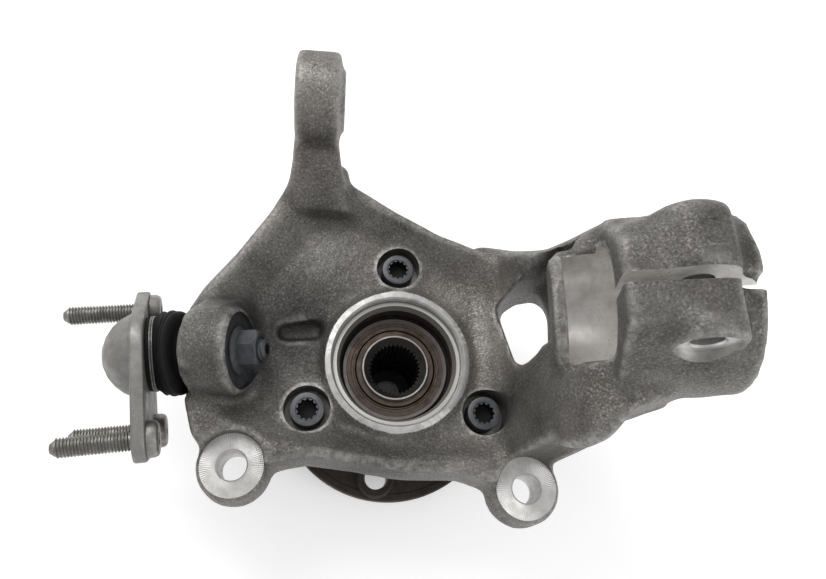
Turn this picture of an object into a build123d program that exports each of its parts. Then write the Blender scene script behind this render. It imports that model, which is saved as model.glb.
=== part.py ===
from build123d import *
import os
from math import asin, cos, degrees, radians, sin, sqrt

# Steering knuckle with its bolted wheel bearing, wheel hub and lower ball joint.
# Origin: centre of the hub's wheel mounting face. +Z runs inboard along the wheel axis,
# +X runs up the car towards the strut clamp, +Y runs towards the steering arm. Millimetres.

os.makedirs("parts", exist_ok=True)

# ---------------------------------------------------------------- wheel hub
FLANGE_R = 68.5             # wheel mounting flange
FLANGE_T = 9.0
PILOT_R = 28.5              # wheel centring pilot
PILOT_L = 13.0
DISC_PILOT_R = 32.5         # brake disc centring step
DISC_PILOT_L = 5.0
WHEEL_PCR = 56.0            # wheel bolt circle radius
WHEEL_BOLTS = 5
WHEEL_HOLE_R = 6.35
WHEEL_HOLE_ANGLE = -97.4
WHEEL_BOSS_R = 11.5         # thickened ring round each wheel bolt hole, inboard side
WHEEL_BOSS_T = 3.0
SPLINE_ROOT_R = 14.6        # drive shaft splines
SPLINE_TIP_R = 13.6
SPLINE_TEETH = 36
SPLINE_END_Z = -2.0         # splines stop at the web for the shaft's centre bolt
SHAFT_BOLT_R = 8.3
HUB_WEB_Z = -8.0
HUB_COLLAR_R = 19.2         # rolled collar that holds the inner ring
HUB_COLLAR_T = 2.2
HUB_LEAD_R = 17.4           # lead-in cone of the splined bore
HUB_LEAD_L = 3.4
HUB_NECK_R = 23.6
HUB_SHOULDER_R = 19.9

# ---------------------------------------------------------------- wheel bearing
BALL_R = 5.5
BALL_PITCH_R = 25.2
BALLS_PER_ROW = 12
ROW_OUT_Z = 24.5
ROW_IN_Z = 43.5
RACE_CLEAR = 0.2            # groove radius over ball radius
RACE_SHOULDER = 2.6         # inner lands inside the ball pitch circle
OUTER_RACE_SHOULDER = 3.7
SEAL_STEP = 2.3             # seal bore outside the outer lands
OUTER_RING_WALL = 4.0
INNER_LAND_R = BALL_PITCH_R - RACE_SHOULDER
INNER_SEAT_R = 16.9         # hub journal under the inner ring
INNER_RING_Z = 35.0
INNER_RING_W = 18.5
OUTER_LAND_R = BALL_PITCH_R + OUTER_RACE_SHOULDER
SEAL_BORE_R = OUTER_LAND_R + SEAL_STEP
OUTER_SPIGOT_R = SEAL_BORE_R + OUTER_RING_WALL
SEAL_BORE_DEPTH_OUT = 4.5
OUTER_Z0 = 14.5
BEARING_LIP_DROP = 5.0      # ring end below the knuckle's rim
NOSE_STEP = 3.8
BEARING_NOSE_R = OUTER_SPIGOT_R + NOSE_STEP
BEARING_FLANGE_T = 10.0
LUG_R = 12.5
CAGE_T = 2.2
CAGE_RIM = 1.0
CAGE_POCKET_CLEAR = 0.35
SEAL_T = 2.2
SEAL_GAP = 0.3
INBOARD_SEAL_T = 1.4
ENCODER_GAP = 1.8
ENCODER_R = SEAL_BORE_R - ENCODER_GAP
ENCODER_T = 1.2

# ---------------------------------------------------------------- bearing bolts
BOLT_PCR = 54.5
BOLT_COUNT = 3
BOLT_FIRST_ANGLE = 90.0
BOLT_SHANK_R = 6.0
BOLT_HEAD_R = 9.0
BOLT_HEAD_H = 12.0
BOLT_TIP = 0.5              # thread past the lug
BOLT_SOCKET_R = 5.9
BOLT_SOCKET_DEPTH = 7.0
BOLT_HOLE_R = 6.6
BOLT_COUNTERBORE_R = 12.3
THREAD_FIT = 0.02

# ---------------------------------------------------------------- knuckle casting, hub body
SEAT_Z = 34.0               # machined face that the bearing flange sits on
RIM_Z = 71.5                # machined rim round the bearing bore, inboard side
SPIGOT_FIT = 0.05
BOLT_SEAT_Z = 56.0
DISH_Z = 67.5               # floor of the dish round the rim
BODY_TOP_Z = 79.0
DISH_SLOPE = 52.0           # dish wall against the wheel axis, degrees
BODY_BACK_Z = 45.0
HUB_BOSS_R = 57.0
HUB_WALL_R = 43.0
LUG_MARGIN = 2.0            # casting round each bearing lug
BACK_POCKET_DEPTH = 16.0    # weight-saving pockets in the outboard side
CUTTER_REACH = 60.0         # open run above the counterbores

# caliper ears
EAR_LEFT = (-82.5, -57.0)
EAR_RIGHT = (67.0, -66.5)
EAR_R = 18.0
EAR_T = 22.0
EAR_FACE_R = 15.3
EAR_HOLE_R = 7.3
EAR_PAD_H = 1.0
EAR_FACE_MARGIN = 0.7       # spot face cutter over the bolt face

# steering arm
ARM_TIP = (-48.5, 135.0, 111.5)
ARM_TIP_R = 26.0
ARM_TIP_W = 24.0
TIE_ROD_HOLE_R = 7.0
TIE_ROD_PAD_R = 16.2
TIE_ROD_PAD_H = 2.5

# lower ball joint
BALL_CENTRE = (-133.0, -1.7, 71.5)
PIN_TILT = 15.0             # pin axis against +X, towards +Z
PLATE_TILT_Z = -6.0         # ball joint axis against +X as it hangs
PLATE_TILT_Y = 8.0
PIN_BALL_R = 13.5
PIN_NECK_R = 8.0
PIN_COLLAR_R = 9.5
PIN_COLLAR_S = 15.5
PIN_TAPER_S = 28.0          # distance from the ball centre to the knuckle boss
PIN_TAPER_L = 24.0
PIN_TAPER_END_R = 8.0
PIN_THREAD_R = 5.95
PIN_THREAD_L = 15.5
PIN_SOCKET_R = 3.0
BOSS_R = 21.0
BOSS_FACE_MARGIN = 1.0      # face cutter over the boss
BOSS_SHOULDER = 1.5         # boss material beyond the nut's seat
SHOULDER_FOOT_Z = 56.0
SHOULDER_TOP_Z = 99.0
SHOULDER_FOOT = [
    (-112, -22), (-104, -32), (-82, -34), (-70, -22), (-70, 24), (-78, 42), (-98, 44), (-112, 22),
]
SHOULDER_CROWN = [
    (-110, -11), (-105, -15), (-93, -15), (-88, -11), (-88, 11), (-92, 17), (-104, 17), (-110, 11),
]
NUT_CUTTER_L = 62.0         # reach of the tool that cuts the nut's recess
NUT_RECESS_R = 19.8
NUT_FLATS = 18.0
NUT_H = 12.5
NUT_FLANGE_R = 12.5
NUT_FLANGE_T = 3.0
CUP_R = 21.5
CUP_RIM_R = 17.5
CUP_RIM_H = 9.0
PLATE_T = 6.5
PLATE_BACK_H = -3.5
DOME_H = 19.0
SEAT_WALL = 2.0
SEAT_FIT = 0.06
SEAT_MOUTH_H = 6.6
RETAINER_R = 13.2           # mouth of the retaining ring
STUD_PLACES = [(27.6, -10.6), (-45.2, 6.0), (-34.1, -30.3)]
STUD_R = 4.9
STUD_L = 37.0
STUD_KNURL_R = 5.7          # pressed part of the stud inside the plate
STUD_HEAD_R = 9.2
STUD_HEAD_T = 5.5
LOBE_R = 11.0
BOOT_R = 22.3
BOOT_WALL = 1.8
BOOT_BASE_H = 3.2           # boot's large end on the cup
BOOT_BASE_L = 5.8
BOOT_MID_S = 15.5           # widest place of the boot, from the ball centre
BOOT_LIP_S = 22.5           # small end on the pin's collar
BOOT_LIP_L = 3.6
LIP_WALL = 3.0
LIP_FIT = 0.05
CLAMP_WIRE_R = 0.7

# ---------------------------------------------------------------- strut arm and clamp
STRUT_Y = 4.5
STRUT_X = 80.0
STRUT_Z = 148.5
STRUT_TILT = 12.0           # strut axis against +X, towards +Z
STRUT_R = 27.5
STRUT_STOP_R = 25.6
STRUT_STOP_S = -11.5         # blind end of the strut bore
STRUT_SHOULDER_S = 4.0      # step that the strut's foot stands on
CLAMP_R = 40.0
CLAMP_S0 = 6.0
CLAMP_S1 = 62.5
JAW_S1 = 50.0
JAW_TOP_W = 48.0
SLIT_Y = 0.0
SLIT_W = 4.6
PINCH_S = 37.0
PINCH_W = 35.5
PINCH_R = 6.5
PINCH_PAD_R = 12.8
PINCH_FACE_Y = -23.5
PINCH_NUT_Y = 32.0
PINCH_BOSS_R = 18.0


# ---------------------------------------------------------------- frames of the tilted parts
def direction(tilt_z, tilt_y):
    """Unit vector near +X, tilted towards +Z and +Y by the given degrees."""
    return Vector(cos(radians(tilt_y)) * cos(radians(tilt_z)), sin(radians(tilt_y)),
                  cos(radians(tilt_y)) * sin(radians(tilt_z)))


PIN_DIR = direction(PIN_TILT, 0)
CUP_DIR = direction(PLATE_TILT_Z, PLATE_TILT_Y)
STRUT_DIR = direction(STRUT_TILT, 0)
PIN_PLANE = Plane(origin=BALL_CENTRE, x_dir=(0, 1, 0), z_dir=PIN_DIR)
CUP_PLANE = Plane(origin=BALL_CENTRE, x_dir=Vector(0, 0, 1).cross(CUP_DIR), z_dir=CUP_DIR)
STRUT_PLANE = Plane(origin=(STRUT_X, STRUT_Y, STRUT_Z), x_dir=(0, 1, 0), z_dir=STRUT_DIR)


PINCH_PLANE = Plane(origin=STRUT_PLANE.from_local_coords((0, PINCH_W, PINCH_S)), x_dir=STRUT_DIR,
                    z_dir=(0, 1, 0))
NUT_SEAT_S = PIN_TAPER_S + PIN_TAPER_L


def profile_plane(axis_plane):
    """Plane that holds a turned part's half profile: x is the radius, y runs along its axis."""
    return Plane(origin=axis_plane.origin, x_dir=axis_plane.x_dir,
                 z_dir=axis_plane.x_dir.cross(axis_plane.z_dir))


def axis_of(axis_plane):
    """Axis that a turned part's profile is revolved about."""
    return Axis(axis_plane.origin, axis_plane.z_dir)


PIN_PROFILE = profile_plane(PIN_PLANE)
CUP_PROFILE = profile_plane(CUP_PLANE)


# ---------------------------------------------------------------- knuckle casting
BODY_OUTLINE = [
    (-111, -22), (-104, -44), (-84, -62), (-46, -54), (-22, -57), (4, -61), (34, -61), (50, -66), (80, -58),
    (90, -44), (90, 48), (70, 56), (46, 66), (24, 74), (-2, 88), (-28, 104), (-30, 116), (-62, 116), (-65, 104),
    (-74, 84), (-90, 58), (-106, 36), (-114, 20),
]
DISH_OUTLINE = [
    (-104, -16), (-90, -34), (-64, -47), (-36, -50), (-8, -54), (24, -55), (50, -54), (68, -40), (74, 10), (62, 46),
    (46, 61), (22, 70), (-6, 84), (-34, 99), (-58, 95), (-69, 74), (-84, 54), (-99, 32),
]
BACK_POCKETS = [
    [(-98, 14), (-70, 14), (-62, 30), (-48, 62), (-66, 84), (-94, 42)],
    [(-98, -14), (-96, -32), (-70, -40), (-60, -34), (-70, -14)],
    [(-36, 60), (-14, 66), (16, 64), (-4, 78), (-28, 92), (-44, 84)],
]
NECK_SIDE = [
    (38, BODY_BACK_Z), (38, 66), (50, 71), (57, 80), (62, 106), (66, 136), (74, 152), (86, 160), (108, 160),
    (120, 130), (112, 106), (101, 82), (96, 62), (84, 50),
]
NECK_OUTLINE = [
    (30, -56), (80, -56), (92, -42), (106, -38), (126, -35), (126, 40), (110, 56), (96, 74), (60, 76), (30, 66),
]
NECK_CREST = [(20, -150), (200, -150), (200, 85), (110, 74), (88, 61), (78, 56), (60, 54), (20, 58)]
WINDOW_OUTLINE = [(65, -6.5), (76, -2), (82.3, 8), (83.3, 28), (78, 41.5), (64, 39), (53.5, 31)]
WINDOW_SLANT = Vector(-0.31, -0.14, 1.0)
CREST_SLANT = Vector(-0.31, -0.48, 1.0)
CREST_Z = 100.0
WINDOW_Z = 76.5
WINDOW_REACH = 60.0
JAW_LOW = [(0, -16), (0, JAW_TOP_W), (-23, JAW_TOP_W), (-29, 34), (-41, -16)]
JAW_HIGH_NEAR = [(0, -16), (39, -10), (31, 22), (20, 40), (12, 45), (0, 45)]
JAW_HIGH_FAR = [(0, -16), (42, -10), (39, 22), (32, 40), (24, JAW_TOP_W), (0, JAW_TOP_W)]


def section(centre, width, height, radius):
    """Rounded rectangle standing across the arm: width along X, height along Z."""
    with BuildSketch(Plane(origin=centre, x_dir=(1, 0, 0), z_dir=(0, -1, 0))) as cut:
        RectangleRounded(width, height, radius)
    return cut.sketch


def outline_on(plane, corners):
    """Straight-sided outline drawn on a plane."""
    with BuildSketch(plane) as cut:
        with BuildLine():
            Polyline(corners, close=True)
        make_face()
    return cut.sketch


def polygon(corners, height):
    """Straight-sided outline in plan at a height."""
    return outline_on(Plane.XY.offset(height), corners)


with BuildPart() as body:
    with BuildSketch(Plane.XY.offset(BODY_BACK_Z)) as outline:
        with BuildLine():
            Polyline(BODY_OUTLINE, close=True)
        make_face()
        fillet(outline.vertices(), radius=5)
    extrude(amount=BODY_TOP_Z - BODY_BACK_Z, taper=2)
    with BuildSketch(Plane.XY.offset(BODY_TOP_Z)):
        with BuildLine():
            Polyline(DISH_OUTLINE, close=True)
        make_face()
    extrude(amount=DISH_Z - BODY_TOP_Z, taper=DISH_SLOPE, mode=Mode.SUBTRACT)
    for corners in BACK_POCKETS:
        with BuildSketch(Plane.XY.offset(BODY_BACK_Z)) as pocket:
            with BuildLine():
                Polyline(corners, close=True)
            make_face()
            fillet(pocket.vertices(), radius=5)
        extrude(amount=BACK_POCKET_DEPTH, taper=6, mode=Mode.SUBTRACT)
    with BuildSketch(Plane.XY.offset(SEAT_Z)):
        Circle(HUB_BOSS_R)
        with PolarLocations(BOLT_PCR, BOLT_COUNT, BOLT_FIRST_ANGLE):
            Circle(LUG_R + LUG_MARGIN)
    extrude(amount=DISH_Z - SEAT_Z)
    with BuildSketch(Plane.XY.offset(DISH_Z)):
        Circle(HUB_WALL_R)
    extrude(amount=RIM_Z - DISH_Z, taper=45)

with BuildPart() as ears:
    for place in (EAR_LEFT, EAR_RIGHT):
        with BuildSketch(Plane.XY.offset(RIM_Z - EAR_PAD_H)):
            with Locations(place):
                Circle(EAR_R)
        extrude(amount=EAR_PAD_H - EAR_T, taper=-3)
        with BuildSketch(Plane.XY.offset(RIM_Z)):
            with Locations(place):
                Circle(EAR_FACE_R)
        extrude(amount=-2 * EAR_PAD_H)

arm_low_x = ARM_TIP[0] - ARM_TIP_W / 2
with BuildPart() as arm:
    loft([section((-46, 84, 62), 46, 36, 12), section((-48.5, 108, 84), 28, 36, 11),
          section((ARM_TIP[0], ARM_TIP[1] - 5, ARM_TIP[2] - 3), ARM_TIP_W, 44, 10)])
    with BuildSketch(Plane.YZ.offset(arm_low_x)):
        with Locations((ARM_TIP[1], ARM_TIP[2])):
            Circle(ARM_TIP_R)
    extrude(amount=ARM_TIP_W)
    with BuildSketch(Plane.YZ.offset(arm_low_x + ARM_TIP_W)):
        with Locations((ARM_TIP[1], ARM_TIP[2])):
            Circle(TIE_ROD_PAD_R)
    extrude(amount=TIE_ROD_PAD_H)

with BuildPart() as pin_boss:
    with BuildSketch(PIN_PLANE.offset(PIN_TAPER_S)) as boss_face:
        Circle(BOSS_R)
    extrude(amount=PIN_TAPER_L + BOSS_SHOULDER, taper=-4)
    loft([polygon(SHOULDER_FOOT, SHOULDER_FOOT_Z), polygon(SHOULDER_CROWN, SHOULDER_TOP_Z)], ruled=True)

with BuildPart() as neck:
    with BuildSketch(Plane.XZ.offset(60)) as side:
        with BuildLine():
            Polyline(NECK_SIDE, close=True)
        make_face()
        fillet(side.vertices(), radius=5)
    extrude(amount=-140)
    with BuildSketch(Plane.XY.offset(BODY_BACK_Z - 10)) as plan:
        with BuildLine():
            Polyline(NECK_OUTLINE, close=True)
        make_face()
        fillet(plan.vertices(), radius=8)
    extrude(amount=200, mode=Mode.INTERSECT)
    with BuildSketch(Plane.XY.offset(CREST_Z)) as crest:
        with BuildLine():
            Polyline(NECK_CREST, close=True)
        make_face()
    extrude(crest.sketch, amount=100, dir=CREST_SLANT, both=True, mode=Mode.INTERSECT)

with BuildPart() as clamp:
    with BuildSketch(STRUT_PLANE.offset(CLAMP_S0)):
        Circle(CLAMP_R)
    extrude(amount=CLAMP_S1 - CLAMP_S0)
    with BuildSketch(STRUT_PLANE.offset(CLAMP_S0)) as low_jaw:
        with BuildLine():
            Polyline(JAW_LOW, close=True)
        make_face()
        fillet(low_jaw.vertices().sort_by(Axis.X)[:3], radius=5)
    extrude(amount=JAW_S1 - CLAMP_S0)
    loft([outline_on(STRUT_PLANE.offset(CLAMP_S0), JAW_HIGH_NEAR),
          outline_on(STRUT_PLANE.offset(JAW_S1), JAW_HIGH_FAR)], ruled=True)
    with BuildSketch(PINCH_PLANE.offset(SLIT_Y - STRUT_Y)):
        Circle(PINCH_BOSS_R)
    extrude(amount=PINCH_NUT_Y - SLIT_Y, taper=3)

with BuildPart() as knuckle_casting:
    add(body.part)
    add(ears.part)
    add(arm.part)
    add(pin_boss.part)
    add(neck.part)
    add(clamp.part)
    # bearing bore, its bolt holes and counterbores
    with BuildSketch(Plane.XY.offset(SEAT_Z)):
        Circle(OUTER_SPIGOT_R + SPIGOT_FIT)
    extrude(amount=RIM_Z - SEAT_Z, mode=Mode.SUBTRACT)
    with BuildSketch(Plane.XY.offset(SEAT_Z)):
        with PolarLocations(BOLT_PCR, BOLT_COUNT, BOLT_FIRST_ANGLE):
            Circle(BOLT_HOLE_R)
    extrude(amount=BOLT_SEAT_Z - SEAT_Z, mode=Mode.SUBTRACT)
    with BuildSketch(Plane.XY.offset(BOLT_SEAT_Z)):
        with PolarLocations(BOLT_PCR, BOLT_COUNT, BOLT_FIRST_ANGLE):
            Circle(BOLT_COUNTERBORE_R)
    extrude(amount=CUTTER_REACH, mode=Mode.SUBTRACT)
    # caliper bolt faces and holes
    with BuildSketch(Plane.XY.offset(RIM_Z)):
        with Locations(EAR_LEFT, EAR_RIGHT):
            Circle(EAR_FACE_R + EAR_FACE_MARGIN)
    extrude(amount=CUTTER_REACH, mode=Mode.SUBTRACT)
    with BuildSketch(Plane.XY.offset(RIM_Z)):
        with Locations(EAR_LEFT, EAR_RIGHT):
            Circle(EAR_HOLE_R)
    extrude(amount=-EAR_T, mode=Mode.SUBTRACT)
    # tie rod hole
    with BuildSketch(Plane.YZ.offset(arm_low_x)):
        with Locations((ARM_TIP[1], ARM_TIP[2])):
            Circle(TIE_ROD_HOLE_R)
    extrude(amount=ARM_TIP_W + TIE_ROD_PAD_H, mode=Mode.SUBTRACT)
    # face of the pin boss, tapered hole of the ball pin and the recess for its nut
    with BuildSketch(PIN_PROFILE):
        with BuildLine():
            Polyline([(0, 0), (BOSS_R + BOSS_FACE_MARGIN, 0), (BOSS_R + BOSS_FACE_MARGIN, PIN_TAPER_S),
                      (PIN_COLLAR_R, PIN_TAPER_S), (PIN_TAPER_END_R, NUT_SEAT_S), (NUT_RECESS_R, NUT_SEAT_S),
                      (NUT_RECESS_R, NUT_SEAT_S + NUT_CUTTER_L), (0, NUT_SEAT_S + NUT_CUTTER_L)], close=True)
        make_face()
    revolve(axis=axis_of(PIN_PLANE), mode=Mode.SUBTRACT)
    # window between the hub body and the strut arm
    with BuildSketch(Plane.XY.offset(WINDOW_Z)) as window:
        with BuildLine():
            Polyline(WINDOW_OUTLINE, close=True)
        make_face()
        fillet(window.vertices(), radius=5)
    extrude(window.sketch, amount=WINDOW_REACH, dir=WINDOW_SLANT, mode=Mode.SUBTRACT)
    extrude(window.sketch, amount=WINDOW_REACH, dir=WINDOW_SLANT * -1, mode=Mode.SUBTRACT)
    # strut bore, its stop and the slit
    with BuildSketch(STRUT_PLANE.offset(STRUT_STOP_S)):
        Circle(STRUT_STOP_R)
    extrude(amount=CLAMP_S1 - STRUT_STOP_S, mode=Mode.SUBTRACT)
    with BuildSketch(STRUT_PLANE.offset(STRUT_SHOULDER_S)):
        Circle(STRUT_R)
    extrude(amount=CLAMP_S1 - STRUT_SHOULDER_S, mode=Mode.SUBTRACT)
    with BuildSketch(STRUT_PLANE.offset(CLAMP_S0 - 2)):
        with Locations((SLIT_Y - STRUT_Y, JAW_TOP_W / 2 + 5)):
            Rectangle(SLIT_W, JAW_TOP_W + 10)
    extrude(amount=CLAMP_S1 - CLAMP_S0 + 4, mode=Mode.SUBTRACT)
    # pinch bolt hole and its seat
    with BuildSketch(PINCH_PLANE.offset(-CLAMP_R)):
        Circle(PINCH_R)
    extrude(amount=2 * CLAMP_R + 10, mode=Mode.SUBTRACT)
    with BuildSketch(PINCH_PLANE.offset(PINCH_FACE_Y - STRUT_Y)):
        Circle(PINCH_PAD_R)
    extrude(amount=-CLAMP_R, mode=Mode.SUBTRACT)
    with BuildSketch(PINCH_PLANE.offset(PINCH_NUT_Y - STRUT_Y)):
        Circle(PINCH_PAD_R)
    extrude(amount=CLAMP_R, mode=Mode.SUBTRACT)


# ---------------------------------------------------------------- wheel bearing
ball_groove_r = BALL_R + RACE_CLEAR
with BuildPart() as bearing_outer_ring:
    with BuildSketch(Plane.XZ) as ring_profile:
        with BuildLine():
            Polyline([(SEAL_BORE_R, OUTER_Z0), (BEARING_NOSE_R, OUTER_Z0), (BEARING_NOSE_R, SEAT_Z - 1),
                      (OUTER_SPIGOT_R, SEAT_Z - 1), (OUTER_SPIGOT_R, RIM_Z - BEARING_LIP_DROP),
                      (OUTER_SPIGOT_R - 2.4, RIM_Z - BEARING_LIP_DROP),
                      (SEAL_BORE_R, RIM_Z - BEARING_LIP_DROP - 4), (SEAL_BORE_R, ROW_IN_Z + BALL_R),
                      (OUTER_LAND_R, ROW_IN_Z + BALL_R), (OUTER_LAND_R, OUTER_Z0 + SEAL_BORE_DEPTH_OUT),
                      (SEAL_BORE_R, OUTER_Z0 + SEAL_BORE_DEPTH_OUT)], close=True)
        make_face()
        with Locations((BALL_PITCH_R, ROW_OUT_Z), (BALL_PITCH_R, ROW_IN_Z)):
            Circle(ball_groove_r, mode=Mode.SUBTRACT)
    revolve(axis=Axis.Z)
    with BuildSketch(Plane.XY.offset(SEAT_Z)) as lugs:
        Circle(BEARING_NOSE_R + 3)
        with PolarLocations(BOLT_PCR, BOLT_COUNT, BOLT_FIRST_ANGLE):
            Circle(LUG_R)
        make_hull()
        Circle(BEARING_NOSE_R - 2, mode=Mode.SUBTRACT)
    extrude(amount=-BEARING_FLANGE_T)
    with BuildSketch(Plane.XY.offset(SEAT_Z)):
        with PolarLocations(BOLT_PCR, BOLT_COUNT, BOLT_FIRST_ANGLE):
            Circle(BOLT_SHANK_R + THREAD_FIT)
    extrude(amount=-BEARING_FLANGE_T, mode=Mode.SUBTRACT)

with BuildPart() as bearing_inner_ring:
    with BuildSketch(Plane.XZ):
        with Locations(((INNER_SEAT_R + INNER_LAND_R) / 2, INNER_RING_Z + INNER_RING_W / 2)):
            Rectangle(INNER_LAND_R - INNER_SEAT_R, INNER_RING_W)
        with Locations((BALL_PITCH_R, ROW_IN_Z)):
            Circle(ball_groove_r, mode=Mode.SUBTRACT)
    revolve(axis=Axis.Z)

hub_end_z = INNER_RING_Z + INNER_RING_W + HUB_COLLAR_T
with BuildPart() as wheel_hub:
    with BuildSketch(Plane.XZ) as hub_profile:
        with BuildLine():
            Polyline([(SPLINE_TIP_R, SPLINE_END_Z), (SHAFT_BOLT_R, SPLINE_END_Z), (SHAFT_BOLT_R, HUB_WEB_Z),
                      (PILOT_R - 6, HUB_WEB_Z), (PILOT_R - 4.5, -PILOT_L),
                      (PILOT_R - 0.8, -PILOT_L), (PILOT_R, -PILOT_L + 0.8), (PILOT_R, -DISC_PILOT_L),
                      (DISC_PILOT_R, -DISC_PILOT_L), (DISC_PILOT_R, 0), (FLANGE_R - 1, 0), (FLANGE_R, 1),
                      (FLANGE_R, FLANGE_T), (HUB_NECK_R + 8, FLANGE_T), (HUB_NECK_R, FLANGE_T + 3),
                      (HUB_NECK_R, ROW_OUT_Z - BALL_R), (INNER_LAND_R, ROW_OUT_Z - BALL_R),
                      (INNER_LAND_R, INNER_RING_Z - 5), (HUB_SHOULDER_R, INNER_RING_Z - 5),
                      (HUB_SHOULDER_R, INNER_RING_Z), (INNER_SEAT_R, INNER_RING_Z),
                      (INNER_SEAT_R, INNER_RING_Z + INNER_RING_W), (HUB_COLLAR_R, INNER_RING_Z + INNER_RING_W),
                      (HUB_COLLAR_R - 0.8, hub_end_z), (HUB_LEAD_R, hub_end_z),
                      (SPLINE_ROOT_R + 0.4, hub_end_z - HUB_LEAD_L),
                      (SPLINE_TIP_R, hub_end_z - HUB_LEAD_L - 1)], close=True)
        make_face()
        with Locations((BALL_PITCH_R, ROW_OUT_Z)):
            Circle(ball_groove_r, mode=Mode.SUBTRACT)
    revolve(axis=Axis.Z)
    with BuildSketch(Plane.XY.offset(FLANGE_T)):
        with PolarLocations(WHEEL_PCR, WHEEL_BOLTS, WHEEL_HOLE_ANGLE):
            Circle(WHEEL_BOSS_R)
    extrude(amount=WHEEL_BOSS_T)
    with BuildSketch(Plane.XY):
        with PolarLocations(WHEEL_PCR, WHEEL_BOLTS, WHEEL_HOLE_ANGLE):
            Circle(WHEEL_HOLE_R)
    extrude(amount=FLANGE_T + WHEEL_BOSS_T, mode=Mode.SUBTRACT)
    with BuildSketch(Plane.XY.offset(SPLINE_END_Z)):
        with PolarLocations(SPLINE_TIP_R, SPLINE_TEETH):
            RegularPolygon(SPLINE_ROOT_R - SPLINE_TIP_R, 4)
    extrude(amount=hub_end_z - SPLINE_END_Z, mode=Mode.SUBTRACT)

cage_pocket_r = BALL_R + CAGE_POCKET_CLEAR
cages = {}
rows = {}
for side, row_z in (("outboard", ROW_OUT_Z), ("inboard", ROW_IN_Z)):
    with BuildPart() as cage:
        with BuildSketch(Plane.XY.offset(row_z - BALL_R - CAGE_RIM)):
            Circle(BALL_PITCH_R + CAGE_T / 2)
            Circle(BALL_PITCH_R - CAGE_T / 2, mode=Mode.SUBTRACT)
        extrude(amount=2 * (BALL_R + CAGE_RIM))
        for place in PolarLocations(BALL_PITCH_R, BALLS_PER_ROW).locations:
            with BuildSketch(Plane(origin=(0, 0, row_z), x_dir=(0, 0, 1), z_dir=place.position)):
                Circle(cage_pocket_r)
            extrude(amount=BALL_PITCH_R + CAGE_T, mode=Mode.SUBTRACT)
    cages[side] = cage
    with BuildPart() as balls:
        with PolarLocations(BALL_PITCH_R, BALLS_PER_ROW):
            with Locations((0, 0, row_z)):
                Sphere(BALL_R)
    rows[side] = balls

with BuildPart() as outboard_seal:
    with BuildSketch(Plane.XY.offset(OUTER_Z0)):
        Circle(SEAL_BORE_R)
        Circle(HUB_NECK_R + SEAL_GAP, mode=Mode.SUBTRACT)
    extrude(amount=SEAL_T)

inner_end_z = INNER_RING_Z + INNER_RING_W
cage_end_z = ROW_IN_Z + BALL_R + CAGE_RIM
with BuildPart() as inboard_seal:
    with BuildSketch(Plane.XY.offset(cage_end_z + SEAL_GAP)):
        Circle(SEAL_BORE_R)
        Circle(INNER_LAND_R + SEAL_GAP, mode=Mode.SUBTRACT)
    extrude(amount=INBOARD_SEAL_T)

with BuildPart() as encoder_ring:
    with BuildSketch(Plane.XY.offset(inner_end_z)):
        Circle(ENCODER_R)
        Circle(INNER_LAND_R, mode=Mode.SUBTRACT)
    extrude(amount=-ENCODER_T)

# ---------------------------------------------------------------- bearing bolts
bolt_parts = []
for index, place in enumerate(PolarLocations(BOLT_PCR, BOLT_COUNT, BOLT_FIRST_ANGLE).locations):
    centre = place.position
    with BuildPart() as bearing_bolt:
        with BuildSketch(Plane.XY.offset(BOLT_SEAT_Z)):
            with Locations((centre.X, centre.Y)):
                Circle(BOLT_HEAD_R)
        extrude(amount=BOLT_HEAD_H)
        chamfer(bearing_bolt.faces().sort_by(Axis.Z)[-1].edges(), length=0.8)
        with BuildSketch(Plane.XY.offset(BOLT_SEAT_Z)):
            with Locations((centre.X, centre.Y)):
                Circle(BOLT_SHANK_R)
        extrude(amount=-(BOLT_SEAT_Z - SEAT_Z + BEARING_FLANGE_T + BOLT_TIP))
        with BuildSketch(Plane.XY.offset(BOLT_SEAT_Z + BOLT_HEAD_H)):
            with Locations((centre.X, centre.Y)):
                for turn in (0, 30, 60):
                    Rectangle(BOLT_SOCKET_R * sqrt(2), BOLT_SOCKET_R * sqrt(2), rotation=turn + 15)
        extrude(amount=-BOLT_SOCKET_DEPTH, mode=Mode.SUBTRACT)
    bolt_parts.append((f"bearing_bolt_{index + 1}", bearing_bolt.part))

# ---------------------------------------------------------------- lower ball joint
with BuildPart() as ball_pin:
    with BuildSketch(PIN_PROFILE):
        with BuildLine():
            ball_low = (0, -PIN_BALL_R)
            ball_arc = JernArc(ball_low, (1, 0), PIN_BALL_R, 180 - degrees(asin(PIN_NECK_R / PIN_BALL_R)))
            Polyline([ball_arc @ 1, (PIN_NECK_R, PIN_COLLAR_S - 1.5), (PIN_COLLAR_R, PIN_COLLAR_S),
                      (PIN_COLLAR_R, PIN_TAPER_S), (PIN_TAPER_END_R, NUT_SEAT_S), (PIN_THREAD_R, NUT_SEAT_S),
                      (PIN_THREAD_R, NUT_SEAT_S + PIN_THREAD_L - 1),
                      (PIN_THREAD_R - 1, NUT_SEAT_S + PIN_THREAD_L), (0, NUT_SEAT_S + PIN_THREAD_L), ball_low])
        make_face()
    revolve(axis=axis_of(PIN_PLANE))
    with BuildSketch(PIN_PLANE.offset(NUT_SEAT_S + PIN_THREAD_L)):
        RegularPolygon(PIN_SOCKET_R, 6)
    extrude(amount=-5, mode=Mode.SUBTRACT)

with BuildPart() as ball_pin_nut:
    with BuildSketch(PIN_PLANE.offset(NUT_SEAT_S)):
        Circle(NUT_FLANGE_R)
    extrude(amount=NUT_FLANGE_T, taper=12)
    with BuildSketch(PIN_PLANE.offset(NUT_SEAT_S)):
        RegularPolygon(NUT_FLATS / 2, 6, major_radius=False)
    extrude(amount=NUT_H)
    with BuildSketch(PIN_PLANE.offset(NUT_SEAT_S)):
        Circle(PIN_THREAD_R + THREAD_FIT)
    extrude(amount=NUT_H, mode=Mode.SUBTRACT)

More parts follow.
